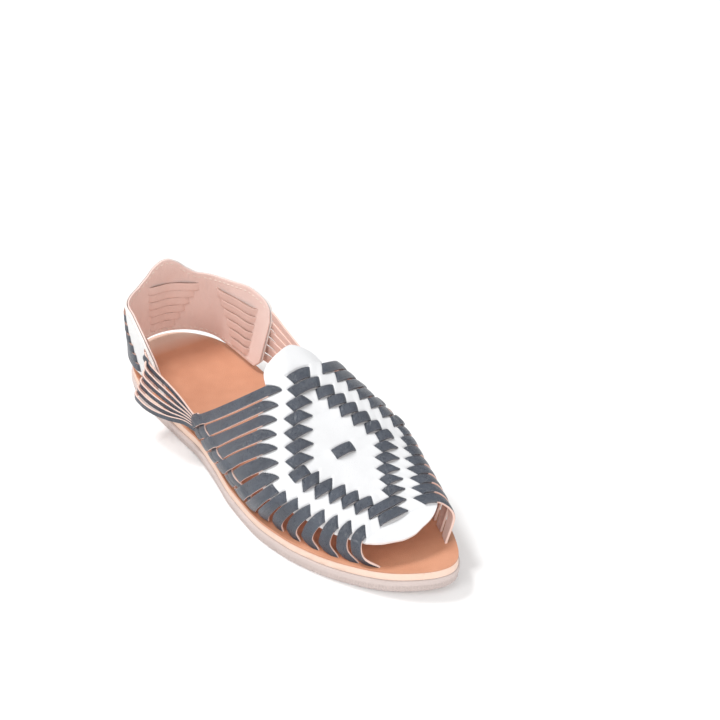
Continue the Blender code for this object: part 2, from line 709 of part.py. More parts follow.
def build_upper(leather):
    """The woven vamp, its side straps, the heel strands and the counter as one hollow piece."""
    upper = loose_object("upper", panel)
    others = [
        loose_object("vamp_straps", straps),
        loose_object("lateral_side_strap", side_strap, -1),
        loose_object("medial_side_strap", side_strap, 1),
        loose_object("heel_counter", counter),
        loose_object("heel_strands", strands),
    ]
    join_into(upper, others)
    upper.data.materials.append(leather)
    upper.data.shade_smooth()
    upper.data.set_sharp_from_angle(angle=math.radians(40))


def main():
    """Build the whole sandal."""
    clear_scene()
    build_sole(
        material("pinkish_rubber", (0.58, 0.46, 0.43), 0.75),
        material("tan_leather", (0.60, 0.24, 0.12), 0.50),
        material("natural_leather", (0.87, 0.60, 0.45), 0.60),
    )
    build_upper(material("woven_leather", (0.10, 0.13, 0.16), 0.45))


main()
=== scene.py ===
"""Dresses the right huarache sandal: woven vamp, heel counter with its strands, and layered sole.

Metres, +Z up, origin on the floor under the middle of the heel. The toe points along -Y and the big toe
side is +X, so +X is medial and -X is lateral. A row is a strap's number, counted from the heel, and a run
is the distance along a strap from the vamp's ridge, the lateral side being negative.
"""
import logging
import math
from dataclasses import dataclass, field
from enum import Enum
from typing import Callable, NamedTuple, Sequence

import bpy
import numpy as np
from mathutils import Matrix, Vector

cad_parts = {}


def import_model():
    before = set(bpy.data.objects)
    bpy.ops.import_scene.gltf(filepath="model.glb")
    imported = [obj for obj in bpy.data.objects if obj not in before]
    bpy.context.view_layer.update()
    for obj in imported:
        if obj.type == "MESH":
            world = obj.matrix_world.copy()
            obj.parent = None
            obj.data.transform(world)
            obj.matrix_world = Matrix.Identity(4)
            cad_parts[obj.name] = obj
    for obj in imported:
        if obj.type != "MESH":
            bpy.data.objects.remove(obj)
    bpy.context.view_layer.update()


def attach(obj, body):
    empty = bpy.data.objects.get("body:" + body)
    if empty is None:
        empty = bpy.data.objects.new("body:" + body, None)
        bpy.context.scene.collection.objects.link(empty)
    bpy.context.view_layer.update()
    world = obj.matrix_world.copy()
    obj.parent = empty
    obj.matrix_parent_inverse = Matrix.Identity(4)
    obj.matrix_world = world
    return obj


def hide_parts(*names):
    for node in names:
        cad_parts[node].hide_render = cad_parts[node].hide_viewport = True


LOG = logging.getLogger("huarache")
BODY = "root"
MERGE_DISTANCE = 0.00002
RIM_SLOT = 2
MM = 0.001


class OutlineRow(NamedTuple):
    """Sole edge at a share of its length: half widths as shares of the ball width."""

    share: float
    lateral: float
    medial: float


class EdgeRow(NamedTuple):
    """The outline's row with an even turn round the ends in place of its share."""

    turn: float
    lateral: float
    medial: float


class SectionRow(NamedTuple):
    """Vamp section under one strap: places across as shares of the ball width, heights of the instep rise."""

    strap: float
    bulge_l: float
    bulge_l_z: float
    side_l: float
    side_l_z: float
    edge_l: float
    edge_l_z: float
    peak: float
    peak_z: float
    edge_m: float
    edge_m_z: float
    side_m: float
    side_m_z: float
    bulge_m: float
    bulge_m_z: float
    turn_bulge: float
    turn_side: float
    foot: float


class WeaveRow(NamedTuple):
    """One strap's slits: distances from the ridge in millimetres, and slants over one strap's spacing."""

    places: tuple[float, ...]
    slants: tuple[float, ...]


class RimRow(NamedTuple):
    """Counter at a share of its reach: rim height as a share of the instep rise, outward lean per height."""

    place: float
    rim: float
    lean: float


class FreeRow(NamedTuple):
    """Strands in front of the counter: places across and heights for the top and the lowest one."""

    share: float
    across_top: float
    across_low: float
    top: float
    low: float


def table(kind: type, *rows: tuple) -> tuple:
    """Rows of one kind."""
    return tuple(kind(*row) for row in rows)


OUTLINE = table(
    OutlineRow,
    (0.000, 0.000, 0.000),
    (0.012, -0.148, 0.146),
    (0.040, -0.244, 0.244),
    (0.090, -0.329, 0.332),
    (0.160, -0.372, 0.379),
    (0.250, -0.377, 0.378),
    (0.360, -0.379, 0.360),
    (0.460, -0.422, 0.358),
    (0.560, -0.479, 0.396),
    (0.660, -0.501, 0.456),
    (0.740, -0.470, 0.496),
    (0.820, -0.389, 0.488),
    (0.890, -0.273, 0.429),
    (0.945, -0.146, 0.357),
    (0.985, 0.021, 0.276),
    (1.000, 0.172, 0.172),
)
SECTIONS = table(
    SectionRow,
    (-2, -0.335, 0.2, -0.29, 0.62, -0.08, 1.11, 0.036, 1.195,
     0.150, 1.150, 0.33, 0.95, 0.40, 0.60, 0.78, 0.42, 0.219),
    (1, -0.4035, 0.19, -0.361, 0.55, -0.116, 0.971, 0.048, 1.003,
     0.173, 0.985, 0.39, 0.80, 0.47, 0.47, 0.755, 0.375, 0.3293),
    (5, -0.4835, 0.148, -0.484, 0.477, -0.318, 0.694, 0.050, 0.778,
     0.333, 0.750, 0.455, 0.64, 0.52, 0.40, 0.645, 0.265, 0.4741),
    (8, -0.4865, 0.044, -0.508, 0.298, -0.382, 0.492, 0.060, 0.608,
     0.402, 0.577, 0.500, 0.50, 0.54, 0.36, 0.715, 0.255, 0.6256),
    (11, -0.4195, 0.0965, -0.383, 0.257, -0.301, 0.3695, 0.060, 0.466,
     0.343, 0.466, 0.452, 0.41, 0.50, 0.29, 0.765, 0.42, 0.7601),
    (15, -0.234, 0.116, -0.222, 0.236, -0.115, 0.283, 0.060, 0.322,
     0.212, 0.360, 0.345, 0.35, 0.40, 0.24, 0.92, 0.41, 0.9105),
    (18, -0.158, 0.115, -0.145, 0.185, -0.06, 0.205, 0.065, 0.222,
     0.160, 0.245, 0.25, 0.24, 0.30, 0.18, 0.92, 0.41, 1),
)
WEAVE = table(
    WeaveRow,
    ((-17.5, -9.0, 3.0, 10.4), (5.4, 2.0, -3.2, -4.1)),
    ((-23.5, -12.1, 5.0, 15.7), (6.2, 2.3, -2.5, -3.9)),
    ((-27.7, -16.7, -5.8, -0.2, 9.7, 18.7), (5.6, 2.0, 3.6, -1.7, -2.7, -4.6)),
    ((-31.7, -21.2, -10.1, 2.7, 12.7, 21.0), (5.6, 2.8, 5.2, -2.4, -2.3, -3.2)),
    ((-35.3, -25.0, -14.0, 6.0, 15.8, 24.0), (6.6, 2.6, 5.6, -2.1, -2.3, -3.1)),
    ((-38.8, -28.3, -17.5, 9.2, 19.0, 26.6), (6.6, 2.5, 5.1, -2.2, -1.7, -2.5)),
    ((-42.2, -32.1, -21.4, 12.8, 21.6, 29.7), (6.2, 2.2, 5.0, -2.2, -1.8, -2.9)),
    ((-43.6, -34.6, -25.2, -9.4, 2.1, 15.9, 24.5, 31.0),
     (1.0, 1.0, 0.8, 0.6, 0.2, -0.4, 0.2, 1.2)),
    ((-41.0, -31.8, -22.2, 12.9, 21.5, 28.6), (-2.8, -2.9, -4.2, 2.8, 4.5, 1.8)),
    ((-37.8, -28.4, -18.2, 9.9, 18.5, 27.0), (-3.5, -3.2, -4.4, 3.2, 4.8, 3.2)),
    ((-34.2, -23.7, -13.9, 7.0, 15.0, 24.0), (-3.4, -2.6, -3.4, 3.2, 4.9, 3.6)),
    ((-29.6, -19.7, -9.9, 4.8, 12.8, 21.6), (-3.5, -2.5, -3.1, 2.2, 5.6, 3.9)),
    ((-25.7, -15.8, -5.4, 2.2, 10.4, 19.3), (-3.8, -2.4, -2.2, 1.6, 5.4, 3.4)),
    ((-21.8, -11.4, 7.9, 16.6), (-4.2, -2.7, 4.0, 3.6)),
    ((-17.5, -9.1, 5.2, 13.9), (-4.4, -2.4, 3.8, 3.6)),
)
RIM = table(
    RimRow,
    (0.00, 0.948, -0.115),
    (0.03, 0.944, -0.114),
    (0.12, 0.890, -0.105),
    (0.20, 0.800, -0.070),
    (0.29, 0.740, -0.030),
    (0.42, 0.735, 0.040),
    (0.56, 0.755, 0.090),
    (0.72, 0.780, 0.170),
    (0.88, 0.740, 0.240),
    (0.96, 0.670, 0.275),
    (1.00, 0.540, 0.285),
)
LATERAL_FREE = table(
    FreeRow,
    (0.225, -0.444, -0.545, 0.480, 0.190),
    (0.258, -0.440, -0.562, 0.443, 0.180),
    (0.295, -0.427, -0.545, 0.410, 0.175),
    (0.332, -0.409, -0.500, 0.345, 0.180),
    (0.362, -0.394, -0.440, 0.270, 0.180),
    (0.400, -0.390, -0.405, 0.235, 0.160),
)
MEDIAL_FREE = table(
    FreeRow,
    (0.230, 0.455, 0.405, 0.600, 0.130),
    (0.290, 0.458, 0.420, 0.530, 0.145),
    (0.355, 0.460, 0.430, 0.455, 0.160),
    (0.430, 0.460, 0.435, 0.385, 0.185),
    (0.490, 0.480, 0.465, 0.345, 0.205),
)


def read_table(rows: Sequence, key: str, column: str, at: float) -> float:
    """Value of a table's column on a smooth curve through its rows.

    Args:
        rows: The table, its rows in rising order of the key.
        key: Name of the column that holds the places.
        column: Name of the column that is read.
        at: The place.

    Returns:
        The column's value there, held level beyond the first and last row.
    """
    places = [getattr(row, key) for row in rows]
    values = [getattr(row, column) for row in rows]
    if at <= places[0]:
        return values[0]
    if at >= places[-1]:
        return values[-1]
    i = max(k for k in range(len(places) - 1) if places[k] <= at)
    span = places[i + 1] - places[i]
    slope = (values[i + 1] - values[i]) / span

    def tangent(k: int) -> float:
        """Slope at a row that keeps the curve from overshooting."""
        if k <= 0 or k >= len(places) - 1:
            return slope
        before = (values[k] - values[k - 1]) / (places[k] - places[k - 1])
        after = (values[k + 1] - values[k]) / (places[k + 1] - places[k])
        return 0.0 if before * after <= 0 else 2 * before * after / (before + after)

    t = (at - places[i]) / span
    start, end = tangent(i) * span, tangent(i + 1) * span
    h = t * t * (3 - 2 * t)
    return values[i] + h * (values[i + 1] - values[i]) + t * (1 - t) ** 2 * start - t * t * (1 - t) * end


def soft_step(low: float, high: float, value: np.ndarray) -> np.ndarray:
    """0 below low, 1 above high, and a soft ramp between."""
    t = np.clip((value - low) / (high - low), 0.0, 1.0)
    return t * t * (3 - 2 * t)


def smooth_curve(points: np.ndarray, steps: int) -> np.ndarray:
    """Catmull-Rom curve through points, spaced by the roots of their distances.

    Args:
        points: The points, one a row.
        steps: Number of pieces between two of them.

    Returns:
        The curve's points, the first and last of the given ones among them.
    """
    padded = np.vstack([2 * points[0] - points[1], points, 2 * points[-1] - points[-2]])
    knots = np.concatenate([[0.0], np.cumsum(np.sqrt(np.linalg.norm(np.diff(padded, axis=0), axis=1)))])
    curve = []
    for k in range(1, len(padded) - 2):
        a, b, c, d = padded[k - 1:k + 3]
        t0, t1, t2, t3 = knots[k - 1:k + 3]
        for t in np.linspace(t1, t2, steps, endpoint=False):
            ab = a + (b - a) * (t - t0) / (t1 - t0)
            bc = b + (c - b) * (t - t1) / (t2 - t1)
            cd = c + (d - c) * (t - t2) / (t3 - t2)
            abc = ab + (bc - ab) * (t - t0) / (t2 - t0)
            bcd = bc + (cd - bc) * (t - t1) / (t3 - t1)
            curve.append(abc + (bcd - abc) * (t - t1) / (t2 - t1))
    return np.vstack([curve, points[-1]])


class Workbench:
    """The modelling steps that the pieces share, all of them Blender's own operators."""

    @staticmethod
    def focus(piece: bpy.types.Object) -> None:
        """Make one object the only selected and the active one."""
        bpy.ops.object.select_all(action="DESELECT")
        piece.select_set(True)
        bpy.context.view_layer.objects.active = piece

    @staticmethod
    def sheet(name: str, columns: int, rows: int) -> tuple[bpy.types.Object, np.ndarray, np.ndarray]:
        """Add a flat sheet that is then laid on a form.

        Args:
            name: The piece's name.
            columns: Number of faces along it.
            rows: Number of faces across it.

        Returns:
            The sheet, and for each vertex its share along and across.
        """
        bpy.ops.object.select_all(action="DESELECT")
        bpy.ops.mesh.primitive_grid_add(x_subdivisions=columns, y_subdivisions=rows, size=1.0)
        piece = bpy.context.object
        piece.name = name
        piece.data.name = name
        flat = np.empty(3 * len(piece.data.vertices))
        piece.data.vertices.foreach_get("co", flat)
        flat = flat.reshape(-1, 3)
        return piece, flat[:, 0] + 0.5, flat[:, 1] + 0.5

    @staticmethod
    def lay(piece: bpy.types.Object, places: np.ndarray) -> None:
        """Bend a sheet to the given places of its vertices."""
        piece.data.vertices.foreach_set("co", np.ascontiguousarray(places, dtype=float).ravel())
        piece.data.update()

    @staticmethod
    def modify(piece: bpy.types.Object, kind: str, **settings: object) -> None:
        """Add a modifier with these settings and apply it."""
        Workbench.focus(piece)
        modifier = piece.modifiers.new(kind.lower(), kind)
        for name, value in settings.items():
            setattr(modifier, name, value)
        bpy.ops.object.modifier_apply(modifier=modifier.name)

    @staticmethod
    def edit(piece: bpy.types.Object, *steps: Callable[[], object]) -> None:
        """Run mesh operators, each on the whole piece."""
        Workbench.focus(piece)
        bpy.ops.object.mode_set(mode="EDIT")
        for step in steps:
            bpy.ops.mesh.select_all(action="SELECT")
            step()
        bpy.ops.object.mode_set(mode="OBJECT")

    @staticmethod
    def close(piece: bpy.types.Object) -> None:
        """Merge vertices that fall on each other."""
        Workbench.edit(piece, lambda: bpy.ops.mesh.remove_doubles(threshold=MERGE_DISTANCE))

    @staticmethod
    def cap(piece: bpy.types.Object) -> None:
        """Close the open ends of a band and turn its faces outwards."""
        Workbench.edit(piece, lambda: bpy.ops.mesh.fill_holes(sides=0),
                       lambda: bpy.ops.mesh.normals_make_consistent(inside=False))

    @staticmethod
    def thicken(piece: bpy.types.Object, thickness: float, offset: float = 0.0) -> None:
        """Give a sheet its thickness, with the second finish on its back and the third on its rim."""
        Workbench.modify(piece, "SOLIDIFY", thickness=thickness, offset=offset,
                         material_offset=1, material_offset_rim=RIM_SLOT)

    @staticmethod
    def repaint_rim(piece: bpy.types.Object, slot: int, low: float, high: float) -> None:
        """Give the rim another finish between two shares of the piece's length."""
        along = piece.data.uv_layers.active.data
        for polygon in piece.data.polygons:
            if polygon.material_index == RIM_SLOT and low < along[polygon.loop_start].uv.x < high:
                polygon.material_index = slot

    @staticmethod
    def round_edges(piece: bpy.types.Object, width: float, segments: int = 2, degrees: float = 55.0) -> None:
        """Bevel the edges that turn more sharply than an angle."""
        Workbench.modify(piece, "BEVEL", width=width, segments=segments, limit_method="ANGLE",
                         angle_limit=math.radians(degrees))

    @staticmethod
    def smooth(piece: bpy.types.Object, degrees: float = 50.0) -> None:
        """Shade smooth except along sharp edges."""
        Workbench.focus(piece)
        bpy.ops.object.shade_smooth_by_angle(angle=math.radians(degrees))

    @staticmethod
    def hand_over(piece: bpy.types.Object, slot: str, node: str) -> None:
        """Ride a finished piece on the sandal and hide the node that it stands for."""
        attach(piece, BODY)
        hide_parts(node)
        LOG.info("%s: %d faces", piece.name, len(piece.data.polygons))


def math_operator(operation: str, swapped: bool = False) -> Callable:
    """An operator between Values or numbers that becomes a Math node.

    Args:
        operation: The node's operation.
        swapped: Whether the number comes first.

    Returns:
        The operator's method.
    """
    def method(value: "Value", other: object) -> "Value":
        """Add the node."""
        first, second = (other, value) if swapped else (value, other)
        return value.combine(operation, first, second)
    return method


@dataclass
class Value:
    """A shader socket that takes part in Python expressions."""

    tree: bpy.types.NodeTree
    socket: object

    def combine(self, operation: str, first: object, second: object) -> "Value":
        """A Math node on two operands, each a Value or a number."""
        node = self.tree.nodes.new("ShaderNodeMath")
        node.operation = operation
        for k, operand in enumerate((first, second)):
            if isinstance(operand, Value):
                self.tree.links.new(operand.socket, node.inputs[k])
            else:
                node.inputs[k].default_value = operand
        return Value(self.tree, node.outputs[0])

    __add__ = math_operator("ADD")
    __radd__ = math_operator("ADD", True)
    __sub__ = math_operator("SUBTRACT")
    __rsub__ = math_operator("SUBTRACT", True)
    __mul__ = math_operator("MULTIPLY")
    __pow__ = math_operator("POWER")
    above = math_operator("MAXIMUM")
    below = math_operator("MINIMUM")

    def __abs__(self) -> "Value":
        """Size without its sign."""
        return self.combine("ABSOLUTE", self, 0.0)


Colour = tuple[float, float, float]


class Shader:
    """One material under construction."""

    def __init__(self, name: str) -> None:
        """Start a material with an empty Principled shader."""
        self.material = bpy.data.materials.new(name)
        self.material.use_nodes = True
        self.tree = self.material.node_tree
        self.surface = self.tree.nodes["Principled BSDF"]

    def node(self, kind: str, settings: dict, inputs: dict) -> bpy.types.Node:
        """Add any node.

        Args:
            kind: The node's type.
            settings: Properties, set first.
            inputs: Socket name or number to a value, a Value or a socket.

        Returns:
            The node.
        """
        node = self.tree.nodes.new(kind)
        for name, value in settings.items():
            setattr(node, name, value)
        for name, value in inputs.items():
            if isinstance(value, Value):
                self.tree.links.new(value.socket, node.inputs[name])
            elif isinstance(value, bpy.types.NodeSocket):
                self.tree.links.new(value, node.inputs[name])
            else:
                node.inputs[name].default_value = value
        return node

    def value(self, node: bpy.types.Node, output: str) -> Value:
        """One of a node's outputs as a Value."""
        return Value(self.tree, node.outputs[output])

    def coordinates(self, kind: str = "Object") -> bpy.types.NodeSocket:
        """Object or UV coordinates."""
        return self.node("ShaderNodeTexCoord", {}, {}).outputs[kind]

    def noise(self, size: float, detail: float = 3.0, stretch: Colour = (1.0, 1.0, 1.0)) -> Value:
        """Noise whose features have a size in metres."""
        place = self.node("ShaderNodeMapping", {}, {"Vector": self.coordinates(), "Scale": stretch})
        inputs = {"Vector": place.outputs[0], "Scale": 1 / size, "Detail": detail, "Roughness": 0.55}
        return self.value(self.node("ShaderNodeTexNoise", {}, inputs), "Fac")

    def pebbles(self, size: float) -> Value:
        """Grain cells of a size in metres, 0 in their furrows."""
        inputs = {"Vector": self.coordinates(), "Scale": 1 / size, "Randomness": 1.0}
        cells = self.node("ShaderNodeTexVoronoi", {"feature": "DISTANCE_TO_EDGE"}, inputs)
        return (self.value(cells, "Distance") * 4.0).below(1.0)

    def across(self) -> Value:
        """0 along the middle of a laid sheet and 1 at its long edges."""
        apart = self.node("ShaderNodeSeparateXYZ", {}, {0: self.coordinates("UV")})
        return abs(self.value(apart, "Y") * 2.0 - 1.0)

    def blend(self, first: object, second: object, share: object) -> bpy.types.NodeSocket:
        """Mix of two colours."""
        node = self.node("ShaderNodeMix", {"data_type": "RGBA"}, {})
        for index, entry in ((0, share), (6, first), (7, second)):
            if isinstance(entry, Value):
                self.tree.links.new(entry.socket, node.inputs[index])
            elif isinstance(entry, bpy.types.NodeSocket):
                self.tree.links.new(entry, node.inputs[index])
            elif index:
                node.inputs[index].default_value = (*entry, 1.0)
            else:
                node.inputs[index].default_value = entry
        return node.outputs[2]

    def paint(self, colour: bpy.types.NodeSocket, roughness: Value) -> None:
        """Give the surface its colour and roughness."""
        self.tree.links.new(colour, self.surface.inputs["Base Color"])
        self.tree.links.new(roughness.socket, self.surface.inputs["Roughness"])

    def emboss(self, height: Value, depth: float) -> None:
        """Raise the surface by a height from 0 to 1 and a depth in metres."""
        inputs = {"Height": height, "Distance": depth, "Strength": 1.0}
        bump = self.node("ShaderNodeBump", {}, inputs)
        self.tree.links.new(bump.outputs[0], self.surface.inputs["Normal"])


@dataclass(frozen=True)
class Leather:
    """A grained leather finish. Its colour can turn paler along Y towards the rear, and its long edges can
    carry a painted highlight.
    """

    name: str
    deep: Colour
    light: Colour
    roughness: float
    grain: float = 0.0006
    grain_depth: float = 0.00012
    patch: float = 0.012
    # The edge colour and the share after it paint a highlight along the long edges.
    edge: Colour | None = None
    edge_highlight: float = 0.0
    edge_sharpness: float = 9.0
    wrinkle_depth: float = 0.0
    wrinkle: float = 0.0022
    wrinkle_stretch: Colour = (0.35, 1.6, 0.8)
    gloss: float = 0.5
    rear_tint: Colour | None = None
    rear_tint_span: tuple[float, float] = (0.0, 1.0)
    rear_tint_slope: float = 0.8
    rear_tint_most: float = 0.75
    patch_floor: float = 0.3
    patch_contrast: float = 2.2
    furrow_shade: float = 0.35
    furrow_roughness: float = 0.10
    fine_size: float = 2.5
    fine_roughness: float = 0.30

    def material(self) -> bpy.types.Material:
        """Build the finish: mottled colour, pebbled grain, fine wrinkles and a painted highlight along the
        long edges.
        """
        shader = Shader(self.name)
        shader.surface.inputs["Specular IOR Level"].default_value = self.gloss
        patches = (shader.noise(self.patch) - self.patch_floor).above(0.0) * self.patch_contrast
        colour = shader.blend(self.deep, self.light, patches.below(1.0))
        pebbles = shader.pebbles(self.grain)
        fine = shader.noise(self.grain * self.fine_size, 6.0)
        furrow = shader.blend(self.deep, self.light, 0.5)
        colour = shader.blend(colour, furrow, (1 - pebbles) * self.furrow_shade)
        # Painted highlight: the long edges are lightened towards the edge colour.
        if self.edge:
            edge_highlight_mask = (shader.across() ** self.edge_sharpness) * self.edge_highlight
            colour = shader.blend(colour, self.edge, edge_highlight_mask)
        # The colour turns paler along Y towards the rear.
        if self.rear_tint:
            colour = shader.blend(colour, self.rear_tint, self._rear_tint_share(shader))
        uneven = (fine - 0.5) * self.fine_roughness + (1 - pebbles) * self.furrow_roughness
        shader.paint(colour, self.roughness + uneven)
        height = pebbles * 0.6 + fine * 0.8
        if self.wrinkle_depth:
            height = height + shader.noise(self.wrinkle, 3.0, self.wrinkle_stretch) * self.wrinkle_depth
        shader.emboss(height, self.grain_depth)
        return shader.material

    def _rear_tint_share(self, shader: Shader) -> Value:
        """How pale the leather is, rising from the start of its pale rear part."""
        apart = shader.node("ShaderNodeSeparateXYZ", {}, {0: shader.coordinates()})
        start, end = self.rear_tint_span
        share = (shader.value(apart, "Y") - start) * (1 / (end - start))
        return (share.above(0.0) * self.rear_tint_slope).below(self.rear_tint_most)


@dataclass(frozen=True)
class Suede:
    """The flesh side or a cut edge: matt, fibrous and pale."""

    name: str
    deep: Colour
    light: Colour
    fibre: float = 0.0004
    cloud: float = 0.009
    roughness: float = 0.86
    depth: float = 0.00012

    def material(self) -> bpy.types.Material:
        """Build the finish from two scales of fibres."""
        shader = Shader(self.name)
        fibres = shader.noise(self.fibre, 4.0)
        cloud = shader.noise(self.cloud, 2.0)
        colour = shader.blend(self.deep, self.light, (fibres * 0.6 + cloud * 0.5).below(1.0))
        shader.paint(colour, self.roughness + (fibres - 0.5) * 0.1)
        shader.emboss(fibres, self.depth)
        return shader.material


@dataclass(frozen=True)
class MouldedRubber:
    """The outsole's matt rubber."""

    name: str
    deep: Colour
    light: Colour
    cloud: float = 0.02
    speck: float = 0.0007
    roughness: float = 0.62
    depth: float = 0.00006

    def material(self) -> bpy.types.Material:
        """Build the finish with a faint mottle and a fine moulded texture."""
        shader = Shader(self.name)
        cloud = shader.noise(self.cloud, 3.0)
        speck = shader.noise(self.speck, 2.0)
        colour = shader.blend(self.deep, self.light, (cloud * 0.7 + speck * 0.3).below(1.0))
        shader.paint(colour, self.roughness + (speck - 0.5) * 0.2)
        shader.emboss(speck, self.depth)
        return shader.material


class Finish(Enum):
    """Every finish on the sandal."""

    # The strap's light grey edge colour is a painted highlight along its long edges.
    STRAP = Leather("charcoal_strap_leather", (0.017, 0.024, 0.040), (0.043, 0.058, 0.086), 0.29,
                    grain_depth=0.00020, edge=(0.20, 0.19, 0.20), edge_highlight=0.35, wrinkle_depth=0.6,
                    gloss=0.95)
    PANEL = Leather("white_panel_leather", (0.70, 0.703, 0.712), (0.745, 0.748, 0.758), 0.50,
                    grain=0.0008, grain_depth=0.00006)
    COUNTER = Leather("white_counter_leather", (0.74, 0.735, 0.73), (0.80, 0.795, 0.79), 0.48,
                      grain=0.0008, grain_depth=0.00009)
    LINING = Leather("pale_pink_lining", (0.74, 0.54, 0.485), (0.85, 0.67, 0.615), 0.62,
                     grain=0.0007, grain_depth=0.00007, patch=0.02)
    # The insole turns paler and pinker towards the heel's back.
    INSOLE = Leather("tan_insole_leather", (0.56, 0.245, 0.140), (0.69, 0.330, 0.200), 0.50,
                     grain=0.0009, grain_depth=0.00008, patch=0.018, wrinkle_depth=0.3,
                     rear_tint=(0.80, 0.60, 0.50), rear_tint_span=(0.010, 0.021))
    MIDSOLE = Leather("natural_midsole_leather", (0.78, 0.56, 0.45), (0.86, 0.66, 0.55), 0.58,
                      grain=0.0011, grain_depth=0.00005, patch=0.03)
    CUT_EDGE = Suede("pink_cut_edge", (0.72, 0.48, 0.41), (0.87, 0.66, 0.58))
    FLESH = Suede("pink_flesh_side", (0.68, 0.47, 0.41), (0.82, 0.62, 0.56))
    # A darker copy of the pink cut edge: painted shade.
    SHADED_CUT_EDGE = Suede("shaded_cut_edge", (0.30, 0.16, 0.13), (0.42, 0.26, 0.21))
    WHITE_EDGE = Suede("white_cut_edge", (0.78, 0.70, 0.66), (0.86, 0.80, 0.77))
    THREAD = Suede("cream_thread", (0.70, 0.58, 0.50), (0.85, 0.74, 0.66), fibre=0.0003)
    RUBBER = MouldedRubber("taupe_rubber", (0.52, 0.43, 0.40), (0.66, 0.56, 0.53))


class Finishes:
    """Materials that are made once and shared."""

    made: dict[Finish, bpy.types.Material] = {}

    @classmethod
    def dress(cls, piece: bpy.types.Object, *finishes: Finish) -> None:
        """Fill a piece's material slots."""
        piece.data.materials.clear()
        for finish in finishes:
            if finish not in cls.made:
                cls.made[finish] = finish.value.material()
            piece.data.materials.append(cls.made[finish])


@dataclass(frozen=True)
class Last:
    """The foot form that every piece is shaped on."""

    length: float = 0.256
    ball_width: float = 0.082
    instep_rise: float = 0.0545
    outsole: float = 0.0068
    midsole: float = 0.0037
    insole: float = 0.0011
    gap: float = 0.0003
    heel_share: float = 0.1133
    toe_spring: float = 0.0035
    spring_start: float = 0.80
    arch_rise: float = 0.0010
    arch_start: float = 0.30
    arch_end: float = 0.58

    @property
    def footbed(self) -> float:
        """Height of the insole's upper face under the heel."""
        return self.outsole + self.midsole + self.insole + 2 * self.gap

    def along(self, share: float) -> float:
        """Y of a share of the length, counted from the heel's back."""
        return (self.heel_share - share) * self.length

    def share_of(self, y: np.ndarray) -> np.ndarray:
        """Share of the length at a Y."""
        return self.heel_share - y / self.length

    def lift(self, share: np.ndarray) -> np.ndarray:
        """Height that the arch and the toe spring add to every layer."""
        spring = np.maximum(share - self.spring_start, 0.0) / (1 - self.spring_start)
        middle = 0.5 * (self.arch_start + self.arch_end)
        arch = soft_step(self.arch_start, middle, share) - soft_step(middle, self.arch_end, share)
        return self.toe_spring * spring ** 2 + self.arch_rise * arch

    def edge(self, share: float, side: str) -> float:
        """X of the sole's edge on the lateral or medial side."""
        turns = [EdgeRow(math.acos(1 - 2 * row.share), row.lateral, row.medial) for row in OUTLINE]
        return read_table(turns, "turn", side, math.acos(1 - 2 * min(max(share, 0.0), 1.0))) * self.ball_width

    def shares(self, stations: int) -> np.ndarray:
        """Shares of the length that lie close together at both ends."""
        return 0.5 - 0.5 * np.cos(np.pi * np.arange(stations + 1) / stations)


